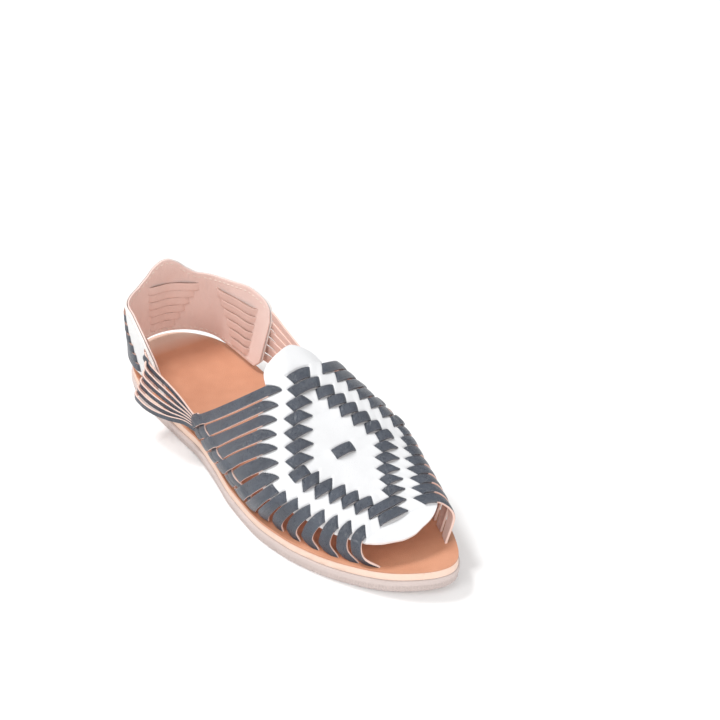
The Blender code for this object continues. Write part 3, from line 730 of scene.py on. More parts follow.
@dataclass
class VampSurface:
    """The vamp's form as a fine table of points over rows and runs."""

    last: Last
    straps: int = 15
    first_ridge: float = 0.5645
    last_ridge: float = 0.8715
    first_medial: float = 0.4010
    last_medial: float = 0.9210
    lateral_inset: float = 0.004
    medial_inset: float = 0.0062
    curl: float = 0.0040
    fan_medial: tuple[float, float] = (0.62, 0.24)
    steps: int = 14
    row_step: float = 0.1
    run_step: float = 0.0005
    row_span: tuple[float, float] = (-2.0, 18.0)
    run_span: tuple[float, float] = (-0.115, 0.095)
    rows: np.ndarray = field(init=False)
    runs: np.ndarray = field(init=False)
    points: np.ndarray = field(init=False)
    normals: np.ndarray = field(init=False)
    pitches: np.ndarray = field(init=False)
    marks: dict = field(init=False, default_factory=dict)

    def __post_init__(self) -> None:
        """Fill the tables of points, outward directions and strap spacings."""
        self.rows = np.arange(self.row_span[0], self.row_span[1] + self.row_step / 2, self.row_step)
        self.runs = np.arange(self.run_span[0], self.run_span[1], self.run_step)
        lines = [self.line(row) for row in self.rows]
        self.points = np.array([self._stretch(curve, along) for curve, along in lines])
        for place, name in ((0, "lateral_foot"), (1, "lateral_bulge"), (7, "medial_bulge"),
                            (8, "medial_foot")):
            self.marks[name] = np.array([along[place * self.steps] for _, along in lines])
        across = np.gradient(self.points, self.run_step, axis=1)
        forward = np.gradient(self.points, self.row_step, axis=0)
        across /= np.linalg.norm(across, axis=2, keepdims=True)
        normal = np.cross(forward, across)
        self.normals = normal / np.linalg.norm(normal, axis=2, keepdims=True)
        flat = forward - np.sum(forward * across, axis=2, keepdims=True) * across
        self.pitches = np.linalg.norm(flat, axis=2)

    def _share(self, row: float, first: float, final: float) -> float:
        """Value that runs evenly from the first strap to the last."""
        return first + (final - first) * (row - 1) / (self.straps - 1)

    def line(self, row: float) -> tuple[np.ndarray, np.ndarray]:
        """A row's middle line.

        Args:
            row: The row.

        Returns:
            Its points from foot to foot, and their runs.
        """
        last = self.last
        ridge = last.along(self._share(row, self.first_ridge, self.last_ridge))
        foot_l = last.along(read_table(SECTIONS, "strap", "foot", row))
        turn_bulge = read_table(SECTIONS, "strap", "turn_bulge", row)
        turn_side = read_table(SECTIONS, "strap", "turn_side", row)
        foot_m = last.along(self._share(row, self.first_medial, self.last_medial))
        lateral = foot_l + self.curl

        def point(name: str, y: float) -> tuple[float, float, float]:
            """One point of the section's table."""
            x = read_table(SECTIONS, "strap", name, row) * last.ball_width
            return x, y, last.footbed + read_table(SECTIONS, "strap", name + "_z", row) * last.instep_rise

        def foot(side: str, y: float, inset: float) -> tuple[float, float, float]:
            """Where the strap meets the insole."""
            share = float(last.share_of(y))
            return last.edge(share, side) + inset, y, last.footbed + last.gap + float(last.lift(share))

        guide = np.array([
            foot("lateral", foot_l, self.lateral_inset),
            point("bulge_l", ridge + turn_bulge * (lateral - ridge)),
            point("side_l", ridge + turn_side * (lateral - ridge)),
            point("edge_l", ridge),
            point("peak", ridge),
            point("edge_m", ridge),
            point("side_m", ridge + self.fan_medial[1] * (foot_m - ridge)),
            point("bulge_m", ridge + self.fan_medial[0] * (foot_m - ridge)),
            foot("medial", foot_m, -self.medial_inset),
        ])
        curve = smooth_curve(guide, self.steps)
        along = np.concatenate([[0.0], np.cumsum(np.linalg.norm(np.diff(curve, axis=0), axis=1))])
        return curve, along - along[4 * self.steps]

    def _stretch(self, curve: np.ndarray, along: np.ndarray) -> np.ndarray:
        """Points at the table's runs, carried straight on beyond both feet."""
        points = np.stack([np.interp(self.runs, along, curve[:, k]) for k in range(3)], axis=1)
        for end, near, over in ((0, 1, np.minimum(self.runs - along[0], 0)),
                                (-1, -2, np.maximum(self.runs - along[-1], 0))):
            way = (curve[end] - curve[near]) / (along[end] - along[near])
            points += over[:, None] * way
        return points

    def _read(self, table: np.ndarray, rows: np.ndarray, runs: np.ndarray) -> np.ndarray:
        """Values between a table's entries."""
        i = np.clip((rows - self.rows[0]) / self.row_step, 0, len(self.rows) - 1.001)
        j = np.clip((runs - self.runs[0]) / self.run_step, 0, len(self.runs) - 1.001)
        i0, j0 = i.astype(int), j.astype(int)
        u, v = i - i0, j - j0
        if table.ndim == 3:
            u, v = u[:, None], v[:, None]
        low = table[i0, j0] * (1 - v) + table[i0, j0 + 1] * v
        high = table[i0 + 1, j0] * (1 - v) + table[i0 + 1, j0 + 1] * v
        return low * (1 - u) + high * u

    def place(self, rows: np.ndarray, runs: np.ndarray, heights: np.ndarray) -> np.ndarray:
        """Points at heights over the form."""
        normals = self._read(self.normals, rows, runs)
        return self._read(self.points, rows, runs) + normals * heights[:, None]

    def pitch(self, rows: np.ndarray, runs: np.ndarray) -> np.ndarray:
        """Distance between neighbouring rows."""
        return self._read(self.pitches, rows, runs)

    def mark(self, name: str, rows: np.ndarray) -> np.ndarray:
        """Run of a foot or bulge at any rows."""
        return np.interp(rows, self.rows, self.marks[name])


class Slit(NamedTuple):
    """A slit that a strap passes: run at the strap's middle, slant, and bow towards the medial side."""

    run: float
    slant: float
    bow: float = 0.0

    def line(self, side: np.ndarray) -> np.ndarray:
        """Runs of the slit at places across the strap."""
        return self.run + self.slant * side + self.bow * (1 - (2 * side) ** 2)


@dataclass
class WeaveChart:
    """Where each strap shows on the panel and where it dives under it."""

    panel_overlap: float = 0.0076
    tongue_overlap: float = 0.0035
    toe_overlap: float = 0.0026
    toe_overlap_rows: tuple[float, float] = (12.0, 15.0)
    tip_bow: float = 0.0012
    bowed_rows: int = 7

    def slits(self, row: int) -> list[Slit]:
        """A row's slits from the lateral side to the medial, over and under by turns."""
        marks = WEAVE[row - 1]
        slits = [Slit(MM * place, MM * slant) for place, slant in zip(marks.places, marks.slants)]
        if row <= self.bowed_rows:
            slits[0] = slits[0]._replace(bow=self.tip_bow)
        return slits

    def panel_edges(self, row: float) -> tuple[float, float]:
        """Runs of the panel's lateral and medial edge at any row, before its ends are rounded."""
        places = np.arange(1, len(WEAVE) + 1)
        lateral = MM * float(np.interp(row, places, [marks.places[0] for marks in WEAVE]))
        medial = MM * float(np.interp(row, places, [marks.places[-1] for marks in WEAVE]))
        overlap = self.tongue_overlap
        overlap += (self.panel_overlap - self.tongue_overlap) * float(soft_step(0.0, 2.0, np.array(row)))
        toe = self.toe_overlap * float(soft_step(*self.toe_overlap_rows, np.array(row)))
        return lateral - overlap, medial + overlap + toe

    def over(self, row: int, runs: np.ndarray, side: np.ndarray, before: float, after: float) -> np.ndarray:
        """How far a strap lies over the panel, from 0 to 1.

        Args:
            row: The strap's number.
            runs: Places along it.
            side: Places across it, -0.5 at its heel edge and 0.5 at its toe edge.
            before: How far inside the visible length the change starts.
            after: How far beyond the slit it ends.

        Returns:
            1 where the strap shows and 0 where the panel bridges it.
        """
        weight = np.ones_like(runs)
        for k, slit in enumerate(self.slits(row)):
            line = slit.line(side)
            if k % 2 == 0:
                weight -= soft_step(-before, after, runs - line)
            else:
                weight += soft_step(-after, before, runs - line)
        return np.clip(weight, 0.0, 1.0)

    def near_slit(self, row: int, runs: np.ndarray, side: np.ndarray) -> np.ndarray:
        """Distance to the nearest slit of a row."""
        lines = [np.abs(runs - slit.line(side)) for slit in self.slits(row)]
        return np.min(lines, axis=0)


@dataclass
class Vamp:
    """The woven vamp: the white panel, the crosswise straps and a lengthwise strap on each side."""

    form: VampSurface
    chart: WeaveChart
    strap_width: float = 0.0068
    hook_width: float = 0.0059
    hook_rows: tuple[float, float] = (7.0, 10.0)
    strap_fill: float = 0.88
    strap_thickness: float = 0.0012
    strap_high: float = 0.00045
    strap_low: float = -0.0022
    dyed_lateral: float = 0.0050
    dyed_medial: tuple[float, float] = (0.030, 0.008)
    dive_before: float = 0.0018
    dive_after: float = 0.00225
    strap_arch: float = 0.00085
    strap_crown: float = 0.00030
    strap_tilt: float = 0.00015
    strap_columns: int = 250
    strap_rows: int = 8
    foot_depth: float = 0.0007
    edge_rounding: float = 0.00022
    panel_thickness: float = 0.0013
    panel_columns: int = 190
    panel_rows: int = 215
    panel_bridge: float = 0.00015
    panel_lip: float = 0.00045
    panel_pressed: float = -0.00045
    panel_dip: tuple[float, float] = (0.00035, 0.00025)
    panel_lip_reach: float = 0.0032
    panel_fade: tuple[float, float] = (0.38, 0.62)
    panel_plain: float = 0.6
    panel_easing: float = 0.35
    tongue_row: float = -1.55
    toe_row: float = 17.5
    tongue_taper: float = 0.97
    toe_taper: float = 0.98
    tongue_roundness: float = 2.6
    toe_roundness: float = 1.1
    least_width: float = 0.02
    side_rows: tuple[float, float] = (0.35, 7.62)
    side_rise: float = 0.0095
    side_width: float = 0.0066
    side_swing: float = 0.0010
    side_ramp: tuple[float, float] = (0.35, 0.95)
    side_columns: int = 150
    side_mesh_rows: int = 6

    def build(self) -> None:
        """Make every piece of the vamp."""
        self.panel()
        for row in range(1, self.form.straps + 1):
            self.strap(row)
        self.side_strap("lateral", -1)
        self.side_strap("medial", 1)

    def _panel_height(self, rows: np.ndarray, runs: np.ndarray) -> np.ndarray:
        """Height of the panel's upper face: pressed down under straps, lifted in lips beside the slits."""
        heights = np.zeros_like(rows)
        weights = np.full_like(rows, 1e-6)
        for row in range(1, self.form.straps + 1):
            side = rows - row
            share = 1 - soft_step(*self.panel_fade, np.abs(side))
            over = self.chart.over(row, runs, side, *self.panel_dip)
            lip = np.exp(-(self.chart.near_slit(row, runs, side) / self.panel_lip_reach) ** 2)
            crown = np.cos(np.pi * np.clip(side, -0.5, 0.5))
            bridge = self.panel_bridge + self.panel_lip * lip * (0.5 + 0.5 * crown)
            heights += share * (over * self.panel_pressed + (1 - over) * bridge)
            weights += share
        outside = np.maximum(0.5 - rows, rows - self.form.straps - 0.5)
        plain = soft_step(0.0, self.panel_plain, outside)
        return (heights / weights) * (1 - plain) + self.panel_bridge * plain

    def _panel_span(self, row: float) -> tuple[float, float]:
        """First and last run of the panel at a row."""
        left, right = self.chart.panel_edges(row)
        taper = 0.0
        if row < 1:
            taper = (self.tongue_taper * (1 - row) / (1 - self.tongue_row)) ** self.tongue_roundness
        elif row > self.form.straps:
            beyond = (row - self.form.straps) / (self.toe_row - self.form.straps)
            taper = (self.toe_taper * beyond) ** self.toe_roundness
        width = math.sqrt(max(1 - taper, self.least_width))
        middle, half = 0.5 * (left + right), 0.5 * (right - left) * width
        return middle - half, middle + half

    def panel(self) -> None:
        """The white panel with its rounded tongue, toe edge and slits."""
        piece, along, across = Workbench.sheet("vamp_panel", self.panel_columns, self.panel_rows)
        levels = np.linspace(0.0, 1.0, self.panel_rows + 1)
        eased = self.panel_easing * (0.5 - 0.5 * np.cos(np.pi * levels)) + (1 - self.panel_easing) * levels
        places = self.toe_row + (self.tongue_row - self.toe_row) * eased
        spans = np.array([self._panel_span(row) for row in places])
        rows = np.interp(across, levels, places)
        left = np.interp(across, levels, spans[:, 0])
        right = np.interp(across, levels, spans[:, 1])
        runs = left + (right - left) * along
        Workbench.lay(piece, self.form.place(rows, runs, self._panel_height(rows, runs)))
        Finishes.dress(piece, Finish.PANEL, Finish.LINING, Finish.WHITE_EDGE)
        Workbench.thicken(piece, self.panel_thickness, -1.0)
        Workbench.smooth(piece)
        Workbench.hand_over(piece, "woven_leather", "upper")

    def _side_crossing(self, row: int, rows: np.ndarray, runs: np.ndarray) -> np.ndarray:
        """How far a crosswise strap moves out or in where it crosses the lengthwise ones."""
        shift = np.zeros_like(runs)
        if row > self.side_rows[1]:
            return shift
        way = 1.0 if row % 2 else -1.0
        near, far = (share * self.side_width for share in self.side_ramp)
        for side, name in ((-1, "lateral_bulge"), (1, "medial_bulge")):
            middle = self.form.mark(name, rows) - side * self.side_rise
            shift += way * self.side_swing * (1 - soft_step(near, far, np.abs(runs - middle)))
        return shift

    def _strip(self, name: str, columns: int, rows: int) -> tuple[bpy.types.Object, np.ndarray, np.ndarray]:
        """A narrow sheet, and for its vertices the share along and the place across from heel to toe edge."""
        piece, along, across = Workbench.sheet(name, columns, rows)
        return piece, along, 0.5 - across

    def _finish(self, piece: bpy.types.Object, dyed: tuple[float, float] | None = None) -> None:
        """Make a strip of leather: dyed face, flesh side, and pink cut edges outside its dyed part.

        Args:
            piece: The strip.
            dyed: Shares along the strip between which its cut edges are dark.
        """
        Finishes.dress(piece, Finish.STRAP, Finish.FLESH, Finish.CUT_EDGE)
        Workbench.thicken(piece, self.strap_thickness)
        if dyed:
            Workbench.repaint_rim(piece, 0, *dyed)
        Workbench.round_edges(piece, self.edge_rounding)
        Workbench.smooth(piece)
        Workbench.hand_over(piece, "woven_leather", "upper")

    def strap(self, row: int) -> None:
        """One crosswise strap, from the insole through the panel's slits and back to the insole."""
        piece, along, side = self._strip(f"strap_{row:02d}", self.strap_columns, self.strap_rows)
        ends = [float(self.form.mark(name, np.array(float(row)))) for name in ("lateral_foot", "medial_foot")]
        start, end = ends[0] - self.foot_depth, ends[1] + self.foot_depth
        runs = start + (end - start) * along
        middle = np.full_like(runs, float(row))
        pitch = self.form.pitch(middle, runs)
        hooked = float(soft_step(*self.hook_rows, np.array(float(row))))
        width = self.strap_width + (self.hook_width - self.strap_width) * hooked
        half = 0.5 * np.minimum(width / pitch, self.strap_fill)
        rows = row + 2 * side * half
        over = self.chart.over(row, runs, side, self.dive_before, self.dive_after)
        heights = self.strap_low + (self.strap_high - self.strap_low) * over
        heights += self._arches(row, runs) - self.strap_crown * (2 * side) ** 2
        heights += self.strap_tilt * 2 * side + self._side_crossing(row, rows, runs)
        Workbench.lay(piece, self.form.place(rows, runs, heights))
        slits = self.chart.slits(row)
        medial = self.dyed_medial[0 if row <= self.hook_rows[0] else 1]
        dyed_runs = slits[0].run - self.dyed_lateral, slits[-1].run + medial
        self._finish(piece, tuple((run - start) / (end - start) for run in dyed_runs))

    def _arches(self, row: int, runs: np.ndarray) -> np.ndarray:
        """The swell of each visible bit between its two slits."""
        slits = self.chart.slits(row)
        swell = np.zeros_like(runs)
        for first, second in zip(slits[1:-1:2], slits[2::2]):
            t = np.clip((runs - first.run) / (second.run - first.run), 0, 1)
            swell += self.strap_arch * 4 * t * (1 - t)
        return swell

    def side_strap(self, name: str, side: int) -> None:
        """The strap that runs lengthwise down one side, over the even straps and under the odd ones."""
        piece, along, across = self._strip(f"{name}_side_strap", self.side_columns, self.side_mesh_rows)
        rows = self.side_rows[0] + (self.side_rows[1] - self.side_rows[0]) * along
        middle = self.form.mark(f"{name}_bulge", rows) - side * self.side_rise
        runs = middle - across * self.side_width
        heights = self.side_swing * np.cos(np.pi * rows) - self.strap_crown * (2 * across) ** 2
        Workbench.lay(piece, self.form.place(rows, runs, heights))
        self._finish(piece)


@dataclass
class HeelCounter:
    """The heel counter: white shell, pink lining, stitching, and the strands that weave through them."""

    last: Last
    radius: float = 0.0270
    wall: float = 0.0024
    spread: float = 0.03
    reach: float = 0.0760
    hem: float = 0.0030
    peak_place: float = 0.0035
    corner_rise: float = 0.0040
    corner_start: float = 0.95
    columns: int = 180
    rows: int = 26
    shell_thickness: float = 0.0011
    lining_thickness: float = 0.0009
    strands: int = 6
    strand_width: float = 0.0046
    strand_thickness: float = 0.0010
    strand_low: float = 0.0082
    strand_pitch: float = 0.0046
    strand_proud: float = 0.0011
    strand_fill: float = 1.04
    least_width: float = 0.0027
    crossing: float = 0.06
    wing_exit: float = 0.87
    back_lateral: tuple[float, float] = (-0.130, -0.082)
    back_medial: tuple[float, float] = (0.333, 0.141)
    wing_back: tuple[float, float] = (0.465, 0.640)
    stitch_length: float = 0.0021
    stitch_pitch: float = 0.0031
    stitch_width: float = 0.00050
    stitch_inset: float = 0.0026
    stitch_steps: int = 400
    hem_inset: float = 0.0018
    back_rise: tuple[float, float] = (0.0036, 0.0010)
    back_rise_places: tuple[float, ...] = (-0.45, -0.12, 0.12, 0.42)
    back_rise_shares: tuple[float, ...] = (0.0, 1.0, 0.6, 0.0)
    layer_rounding: float = 0.0003
    strand_rounding: float = 0.0002
    strand_steps: int = 10
    strand_rows: int = 4

    def build(self) -> None:
        """Make the counter's pieces."""
        self.layer("counter_shell", 0.5 * (self.wall - self.shell_thickness), self.shell_thickness, 1,
                   (Finish.COUNTER, Finish.COUNTER, Finish.WHITE_EDGE))
        self.layer("counter_lining", -0.5 * (self.wall - self.lining_thickness), self.lining_thickness, -1,
                   (Finish.LINING, Finish.LINING, Finish.LINING))
        self.stitching("lining_rim_stitches", -0.5 * self.wall, True)
        self.stitching("lining_hem_stitches", -0.5 * self.wall, False)
        self.stitching("shell_stitches", 0.5 * self.wall, True)
        for number in range(self.strands):
            self.strand(number)

    def point(self, place: float, height: float, offset: float) -> tuple[float, float, float]:
        """Point of the counter's wall.

        Args:
            place: Distance round it from the back's middle, medial being positive.
            height: Height over the floor.
            offset: Distance outwards from the wall's middle.

        Returns:
            The point.
        """
        distance, side = abs(place), math.copysign(1.0, place)
        corner = 0.5 * math.pi * self.radius
        if distance <= corner:
            turn = distance / self.radius
            normal = (math.sin(turn), math.cos(turn))
            base = (normal[0] * self.radius, normal[1] * self.radius)
        else:
            normal = (1.0, 0.0)
            base = (self.radius + self.spread * (distance - corner), corner - distance)
        lean = read_table(RIM, "place", "lean", distance / self.reach)
        out = lean * (height - self.last.footbed - self.hem) + offset
        return side * (base[0] + normal[0] * out), base[1] + normal[1] * out, height

    def span(self, place: float) -> tuple[float, float]:
        """Hem and rim heights at a place round the counter."""
        share = abs(place) / self.reach
        shifted = abs(place - self.peak_place * (1 - share)) / self.reach
        rim = self.last.footbed + self.last.instep_rise * read_table(RIM, "place", "rim", shifted)
        corner = max(share - self.corner_start, 0.0) / (1 - self.corner_start)
        return self.last.footbed + self.hem + self.corner_rise * corner, rim

    def layer(self, name: str, offset: float, thickness: float, way: int, finishes: Sequence[Finish]) -> None:
        """One leather layer of the counter, laid from wing to wing."""
        piece, along, across = Workbench.sheet(name, self.columns, self.rows)
        places = []
        for u, v in zip(along, across):
            place = (2 * u - 1) * self.reach * -way
            hem, rim = self.span(place)
            places.append(self.point(place, hem + (rim - hem) * v, offset))
        Workbench.lay(piece, np.array(places))
        Finishes.dress(piece, *finishes)
        Workbench.thicken(piece, thickness)
        Workbench.round_edges(piece, self.layer_rounding)
        Workbench.smooth(piece)
        Workbench.hand_over(piece, "woven_leather", "upper")

    def stitching(self, name: str, offset: float, upper: bool) -> None:
        """A row of stitches that follows the rim or the hem."""
        path = []
        for k in range(self.stitch_steps + 1):
            place = (2 * k / self.stitch_steps - 1) * (self.reach - self.stitch_inset)
            hem, rim = self.span(place)
            height = rim - self.stitch_inset if upper else hem + self.hem_inset
            path.append(Vector(self.point(place, height, offset)))
        bpy.ops.object.select_all(action="DESELECT")
        bpy.ops.mesh.primitive_uv_sphere_add(segments=8, ring_count=6, radius=0.5)
        first = bpy.context.object
        first.name = name
        first.data.name = name
        Finishes.dress(first, Finish.THREAD)
        runs = np.concatenate([[0.0], np.cumsum([(b - a).length for a, b in zip(path, path[1:])])])
        copies = [first]
        places = np.arange(self.stitch_pitch, runs[-1] - self.stitch_pitch, self.stitch_pitch)
        for number, run in enumerate(places):
            stitch = first
            if number:
                stitch = first.copy()
                stitch.data = first.data.copy()
                bpy.context.scene.collection.objects.link(stitch)
                copies.append(stitch)
            k = int(np.searchsorted(runs, run))
            way = (path[k] - path[k - 1]).normalized()
            turn = way.to_track_quat("X", "Z").to_matrix().to_4x4()
            size = Matrix.Diagonal((self.stitch_length, self.stitch_width, self.stitch_width, 1.0))
            stitch.matrix_world = Matrix.Translation(path[k]) @ turn @ size
        bpy.ops.object.select_all(action="DESELECT")
        for stitch in copies:
            stitch.select_set(True)
        bpy.context.view_layer.objects.active = first
        bpy.ops.object.transform_apply(location=True, rotation=True, scale=True)
        bpy.ops.object.join()
        Workbench.smooth(first, 80.0)
        Workbench.hand_over(first, "woven_leather", "upper")

    def route(self, number: int) -> tuple[np.ndarray, np.ndarray]:
        """Middle line and widths of one strand, from the lateral side round to the medial."""
        last = self.last
        low = number / (self.strands - 1)
        height = last.footbed + self.strand_low + self.strand_pitch * (self.strands - 1 - number)
        inside = -0.5 * self.wall - self.strand_proud + 0.5 * self.strand_thickness

        def mix(pair: tuple[float, float]) -> float:
            """Value between the top and the lowest strand's."""
            return pair[0] + (pair[1] - pair[0]) * low

        crossings = (-self.wing_exit, -mix(self.wing_back), mix(self.back_lateral),
                     mix(self.back_medial), mix(self.wing_back), self.wing_exit)
        face = 1
        marks = []
        for k, place in enumerate(crossings):
            marks += [(place - 0.5 * self.crossing, face), (place + 0.5 * self.crossing, -face)]
            face = -face
            if k < len(crossings) - 1:
                marks.append((0.5 * (place + crossings[k + 1]), face))
        arch = self.back_rise[0] + (self.back_rise[1] - self.back_rise[0]) * low
        wall = []
        for share, turn in marks:
            rise = arch * float(np.interp(share, self.back_rise_places, self.back_rise_shares))
            wall.append(self.point(share * self.reach, height + rise, -inside * turn))

        def free(table: Sequence[FreeRow]) -> list[tuple[float, float, float]]:
            """The strand's points in front of the counter."""
            return [
                (last.ball_width * (row.across_top + (row.across_low - row.across_top) * low),
                 last.along(row.share),
                 last.footbed + last.instep_rise * (row.top + (row.low - row.top) * low))
                for row in table
            ]

        def narrow(table: Sequence[FreeRow]) -> list[float]:
            """The strand's widths there."""
            spaces = [(row.top - row.low) * last.instep_rise / (self.strands - 1) for row in table]
            widths = [min(self.strand_width, self.strand_fill * space) for space in spaces]
            return [max(self.least_width, width) for width in widths]

        path = free(LATERAL_FREE)[::-1] + wall + free(MEDIAL_FREE)
        widths = narrow(LATERAL_FREE)[::-1] + [self.strand_width] * len(wall) + narrow(MEDIAL_FREE)
        return np.array(path), np.array(widths)

    def strand(self, number: int) -> None:
        """One strand, as a strip along its route."""
        guide, widths = self.route(number)
        curve = smooth_curve(guide, self.strand_steps)
        width = np.interp(np.arange(len(curve)) / self.strand_steps, np.arange(len(widths)), widths)
        ahead = np.gradient(curve, axis=0)
        out = np.stack([ahead[:, 1], -ahead[:, 0], np.zeros(len(curve))], axis=1)
        out /= np.linalg.norm(out, axis=1, keepdims=True)
        up = np.cross(ahead, out)
        up /= np.linalg.norm(up, axis=1, keepdims=True)
        up *= np.where(up[:, 2] > 0, 1.0, -1.0)[:, None]
        piece, along, across = Workbench.sheet(f"heel_strand_{number + 1}", len(curve) - 1, self.strand_rows)
        k = np.rint(along * (len(curve) - 1)).astype(int)
        places = curve[k] + up[k] * (width[k] * (across - 0.5))[:, None]
        Workbench.lay(piece, places)
        Workbench.edit(piece, bpy.ops.mesh.flip_normals)
        Finishes.dress(piece, Finish.STRAP, Finish.FLESH, Finish.CUT_EDGE, Finish.SHADED_CUT_EDGE)
        Workbench.thicken(piece, self.strand_thickness)
        spans = len(guide) - 1
        # The strands' rims along the counter wall get the darker cut edge: painted shade between the strands.
        Workbench.repaint_rim(piece, 3, len(LATERAL_FREE) / spans, 1 - len(MEDIAL_FREE) / spans)
        Workbench.round_edges(piece, self.strand_rounding)
        Workbench.smooth(piece)
        Workbench.hand_over(piece, "woven_leather", "upper")


class SideLevel(NamedTuple):
    """A level of the outsole's side: height, how far it lies inside the edge, and share of the ribs."""

    height: float
    inset: float
    ribs: float = 0.0


@dataclass
class Sole:
    """The ribbed rubber outsole, the rounded midsole and the tan insole."""

    last: Last
    midsole_inset: float = 0.0004
    midsole_rounding: float = 0.0009
    insole_inset: float = 0.0003
    rib_height: float = 0.0032
    rib_depth: float = 0.00035
    rib_pitch: float = 0.0017
    step: float = 0.0006
    step_start: float = 0.0003
    foot_rounding: float = 0.0005
    lip: tuple[SideLevel, ...] = (SideLevel(-0.0006, 0.0), SideLevel(-0.00015, 0.00025),
                                  SideLevel(0.0, 0.0007))
    insole_rounding: float = 0.35
    stations: int = 700
    layer_stations: int = 160
    layer_columns: int = 20

    def build(self) -> None:
        """Make the three layers."""
        self.outsole()
        last = self.last
        low = last.outsole + last.gap
        self.layer("midsole_board", "midsole", "natural_leather", Finish.MIDSOLE, self.midsole_inset,
                   low + last.midsole, last.midsole, self.midsole_rounding)
        self.layer("footbed", "insole", "tan_leather", Finish.INSOLE, self.insole_inset,
                   last.footbed, last.insole, self.insole_rounding * last.insole)

    def layer(self, name: str, node: str, slot: str, finish: Finish, inset: float, top: float,
              thickness: float, rounding: float) -> None:
        """A flat leather layer with a rounded upper edge."""
        last = self.last
        piece, along, across = Workbench.sheet(name, self.layer_columns, self.layer_stations)
        shares = last.shares(self.layer_stations)
        loop = self.edges(shares, inset)
        k = np.rint((1 - across) * self.layer_stations).astype(int)
        lateral, medial = loop[0][k], loop[1][k]
        x = lateral[:, 0] + (medial[:, 0] - lateral[:, 0]) * along
        y = lateral[:, 1] + (medial[:, 1] - lateral[:, 1]) * along
        z = top + last.lift(last.share_of(y))
        Workbench.lay(piece, np.stack([x, y, z], axis=1))
        Workbench.close(piece)
        Finishes.dress(piece, finish)
        Workbench.modify(piece, "SOLIDIFY", thickness=thickness, offset=-1.0)
        Workbench.round_edges(piece, rounding, 5, 60.0)
        Workbench.smooth(piece, 60.0)
        Workbench.hand_over(piece, slot, node)

    def edges(self, shares: np.ndarray, inset: float) -> tuple[np.ndarray, np.ndarray]:
        """Lateral and medial edge points, pulled in by an inset."""
        last = self.last
        sides = []
        for side, way in (("lateral", 1.0), ("medial", -1.0)):
            edge = np.array([(last.edge(share, side), last.along(share)) for share in shares])
            run = np.gradient(edge, axis=0)
            run /= np.linalg.norm(run, axis=1, keepdims=True)
            sides.append(edge + way * np.stack([-run[:, 1], run[:, 0]], axis=1) * inset)
        return sides[0], sides[1]

    def outsole(self) -> None:
        """The rubber outsole: ribs on the lower half of its side, and a plain band above them."""
        last = self.last
        shares = last.shares(self.stations // 2)
        lateral, medial = self.edges(shares, 0.0)
        loop = np.vstack([lateral, medial[-2::-1]])
        run = np.concatenate([[0.0], np.cumsum(np.linalg.norm(np.diff(loop, axis=0), axis=1))])
        count = int(round(run[-1] / self.rib_pitch))
        samples = np.linspace(0, run[-1], 4 * count + 1)
        edge = np.stack([np.interp(samples, run, loop[:, 0]), np.interp(samples, run, loop[:, 1])], axis=1)
        way = np.roll(edge, -2, axis=0) - np.roll(edge, 2, axis=0)
        way /= np.linalg.norm(way, axis=1, keepdims=True)
        inward = np.stack([-way[:, 1], way[:, 0]], axis=1)
        rib = self.rib_depth * (0.5 - 0.5 * np.cos(2 * np.pi * np.arange(len(samples)) / 4))
        levels = [SideLevel(0.0, self.foot_rounding, 0.6),
                  SideLevel(self.foot_rounding, 0.0, 1.0),
                  SideLevel(self.rib_height, 0.0, 1.0),
                  SideLevel(self.rib_height + self.step_start, -0.5 * self.step),
                  SideLevel(self.rib_height + self.step, -self.step)]
        levels += [SideLevel(last.outsole + level.height, level.inset - self.step) for level in self.lip]
        piece, along, across = Workbench.sheet("outsole_rubber", len(samples) - 1, len(levels) - 1)
        k = np.rint(along * (len(samples) - 1)).astype(int)
        level = np.rint(across * (len(levels) - 1)).astype(int)
        table = np.array(levels)[level]
        shift = table[:, 1] + rib[k] * table[:, 2]
        flat = edge[k] + inward[k] * shift[:, None]
        z = table[:, 0] + last.lift(last.share_of(edge[k][:, 1]))
        Workbench.lay(piece, np.column_stack([flat, z]))
        Workbench.close(piece)
        Workbench.cap(piece)
        Finishes.dress(piece, Finish.RUBBER)
        Workbench.smooth(piece, 55.0)
        Workbench.hand_over(piece, "pinkish_rubber", "outsole")


@dataclass(frozen=True)
class Lamp:
    """A soft area light."""

    name: str
    place: Colour
    size: float
    power: float


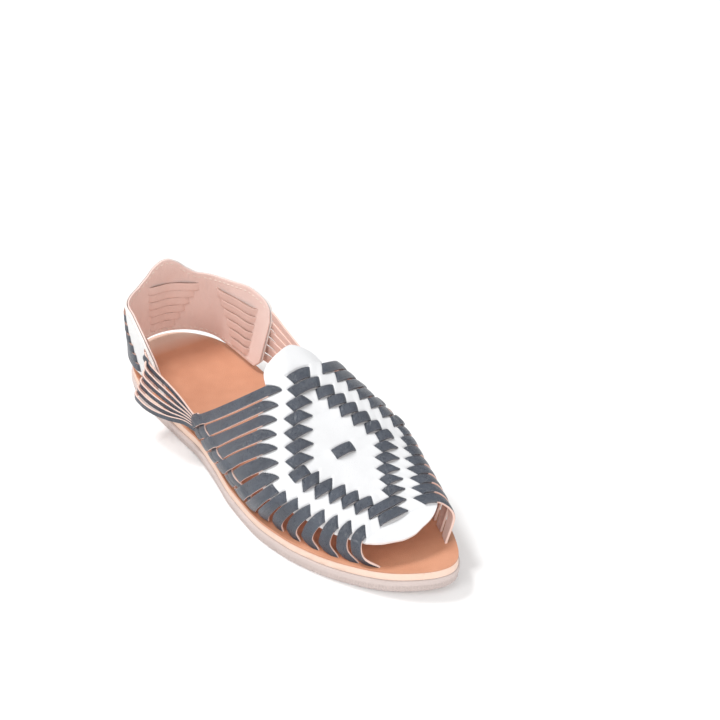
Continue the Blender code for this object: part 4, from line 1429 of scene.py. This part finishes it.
@dataclass
class Studio:
    """Pale floor, soft light and the photograph's camera."""

    aim: Colour = (0.0, -0.110, 0.020)
    azimuth: float = 32.53
    elevation: float = 35.48
    distance: float = 1.1958
    lens: float = 118.0
    shift: tuple[float, float] = (0.0946, 0.1219)
    floor_size: float = 6.0
    floor_colour: Colour = (0.93, 0.93, 0.93)
    floor_roughness: float = 0.9
    sky_strength: float = 0.62
    lamps: tuple[Lamp, ...] = (
        Lamp("overhead", (-0.32, 0.60, 1.25), 0.45, 12.5),
        Lamp("lateral_side", (-1.2, -0.3, 0.9), 0.8, 5.0),
        Lamp("toe_side", (-0.2, -1.4, 0.8), 0.9, 8.0),
    )

    def build(self) -> None:
        """Set up the floor, the lights and the camera."""
        self.floor()
        self.light()
        self.camera()

    def floor(self) -> None:
        """A plain pale floor."""
        bpy.ops.object.select_all(action="DESELECT")
        bpy.ops.mesh.primitive_plane_add(size=self.floor_size)
        floor = bpy.context.object
        floor.name = "studio_floor"
        shader = Shader("studio_paper")
        shader.surface.inputs["Base Color"].default_value = (*self.floor_colour, 1.0)
        shader.surface.inputs["Roughness"].default_value = self.floor_roughness
        floor.data.materials.append(shader.material)

    def light(self) -> None:
        """Soft lamps and an even white surrounding."""
        world = bpy.data.worlds.new("white_studio")
        world.use_nodes = True
        world.node_tree.nodes["Background"].inputs["Strength"].default_value = self.sky_strength
        world.node_tree.nodes["Background"].inputs["Color"].default_value = (1.0, 1.0, 1.0, 1.0)
        bpy.context.scene.world = world
        for lamp in self.lamps:
            data = bpy.data.lights.new(lamp.name, "AREA")
            data.shape = "DISK"
            data.size = lamp.size
            data.energy = lamp.power
            light = bpy.data.objects.new(lamp.name, data)
            light.location = lamp.place
            light.rotation_euler = (Vector(self.aim) - Vector(lamp.place)).to_track_quat("-Z", "Y").to_euler()
            bpy.context.scene.collection.objects.link(light)
        bpy.context.scene.view_settings.view_transform = "Standard"
        bpy.context.scene.view_settings.look = "None"

    def camera(self) -> None:
        """The photograph's viewing angle and frame."""
        turn, tilt = math.radians(self.azimuth), math.radians(self.elevation)
        ahead = Vector((math.sin(turn) * math.cos(tilt), math.cos(turn) * math.cos(tilt), -math.sin(tilt)))
        data = bpy.data.cameras.new("photo_camera")
        data.lens = self.lens
        data.sensor_width = 36.0
        data.shift_x, data.shift_y = self.shift
        data.clip_start = 0.01
        camera = bpy.data.objects.new("photo_camera", data)
        camera.location = Vector(self.aim) - ahead * self.distance
        camera.rotation_euler = ahead.to_track_quat("-Z", "Y").to_euler()
        bpy.context.scene.collection.objects.link(camera)
        bpy.context.scene.camera = camera


def main() -> None:
    """Load the frame, dress every part of the sandal and set up the studio."""
    logging.basicConfig(level=logging.INFO, format="%(message)s")
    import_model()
    last = Last()
    form = VampSurface(last)
    Sole(last).build()
    Vamp(form, WeaveChart()).build()
    HeelCounter(last).build()
    Studio().build()


if __name__ == "__main__":
    main()
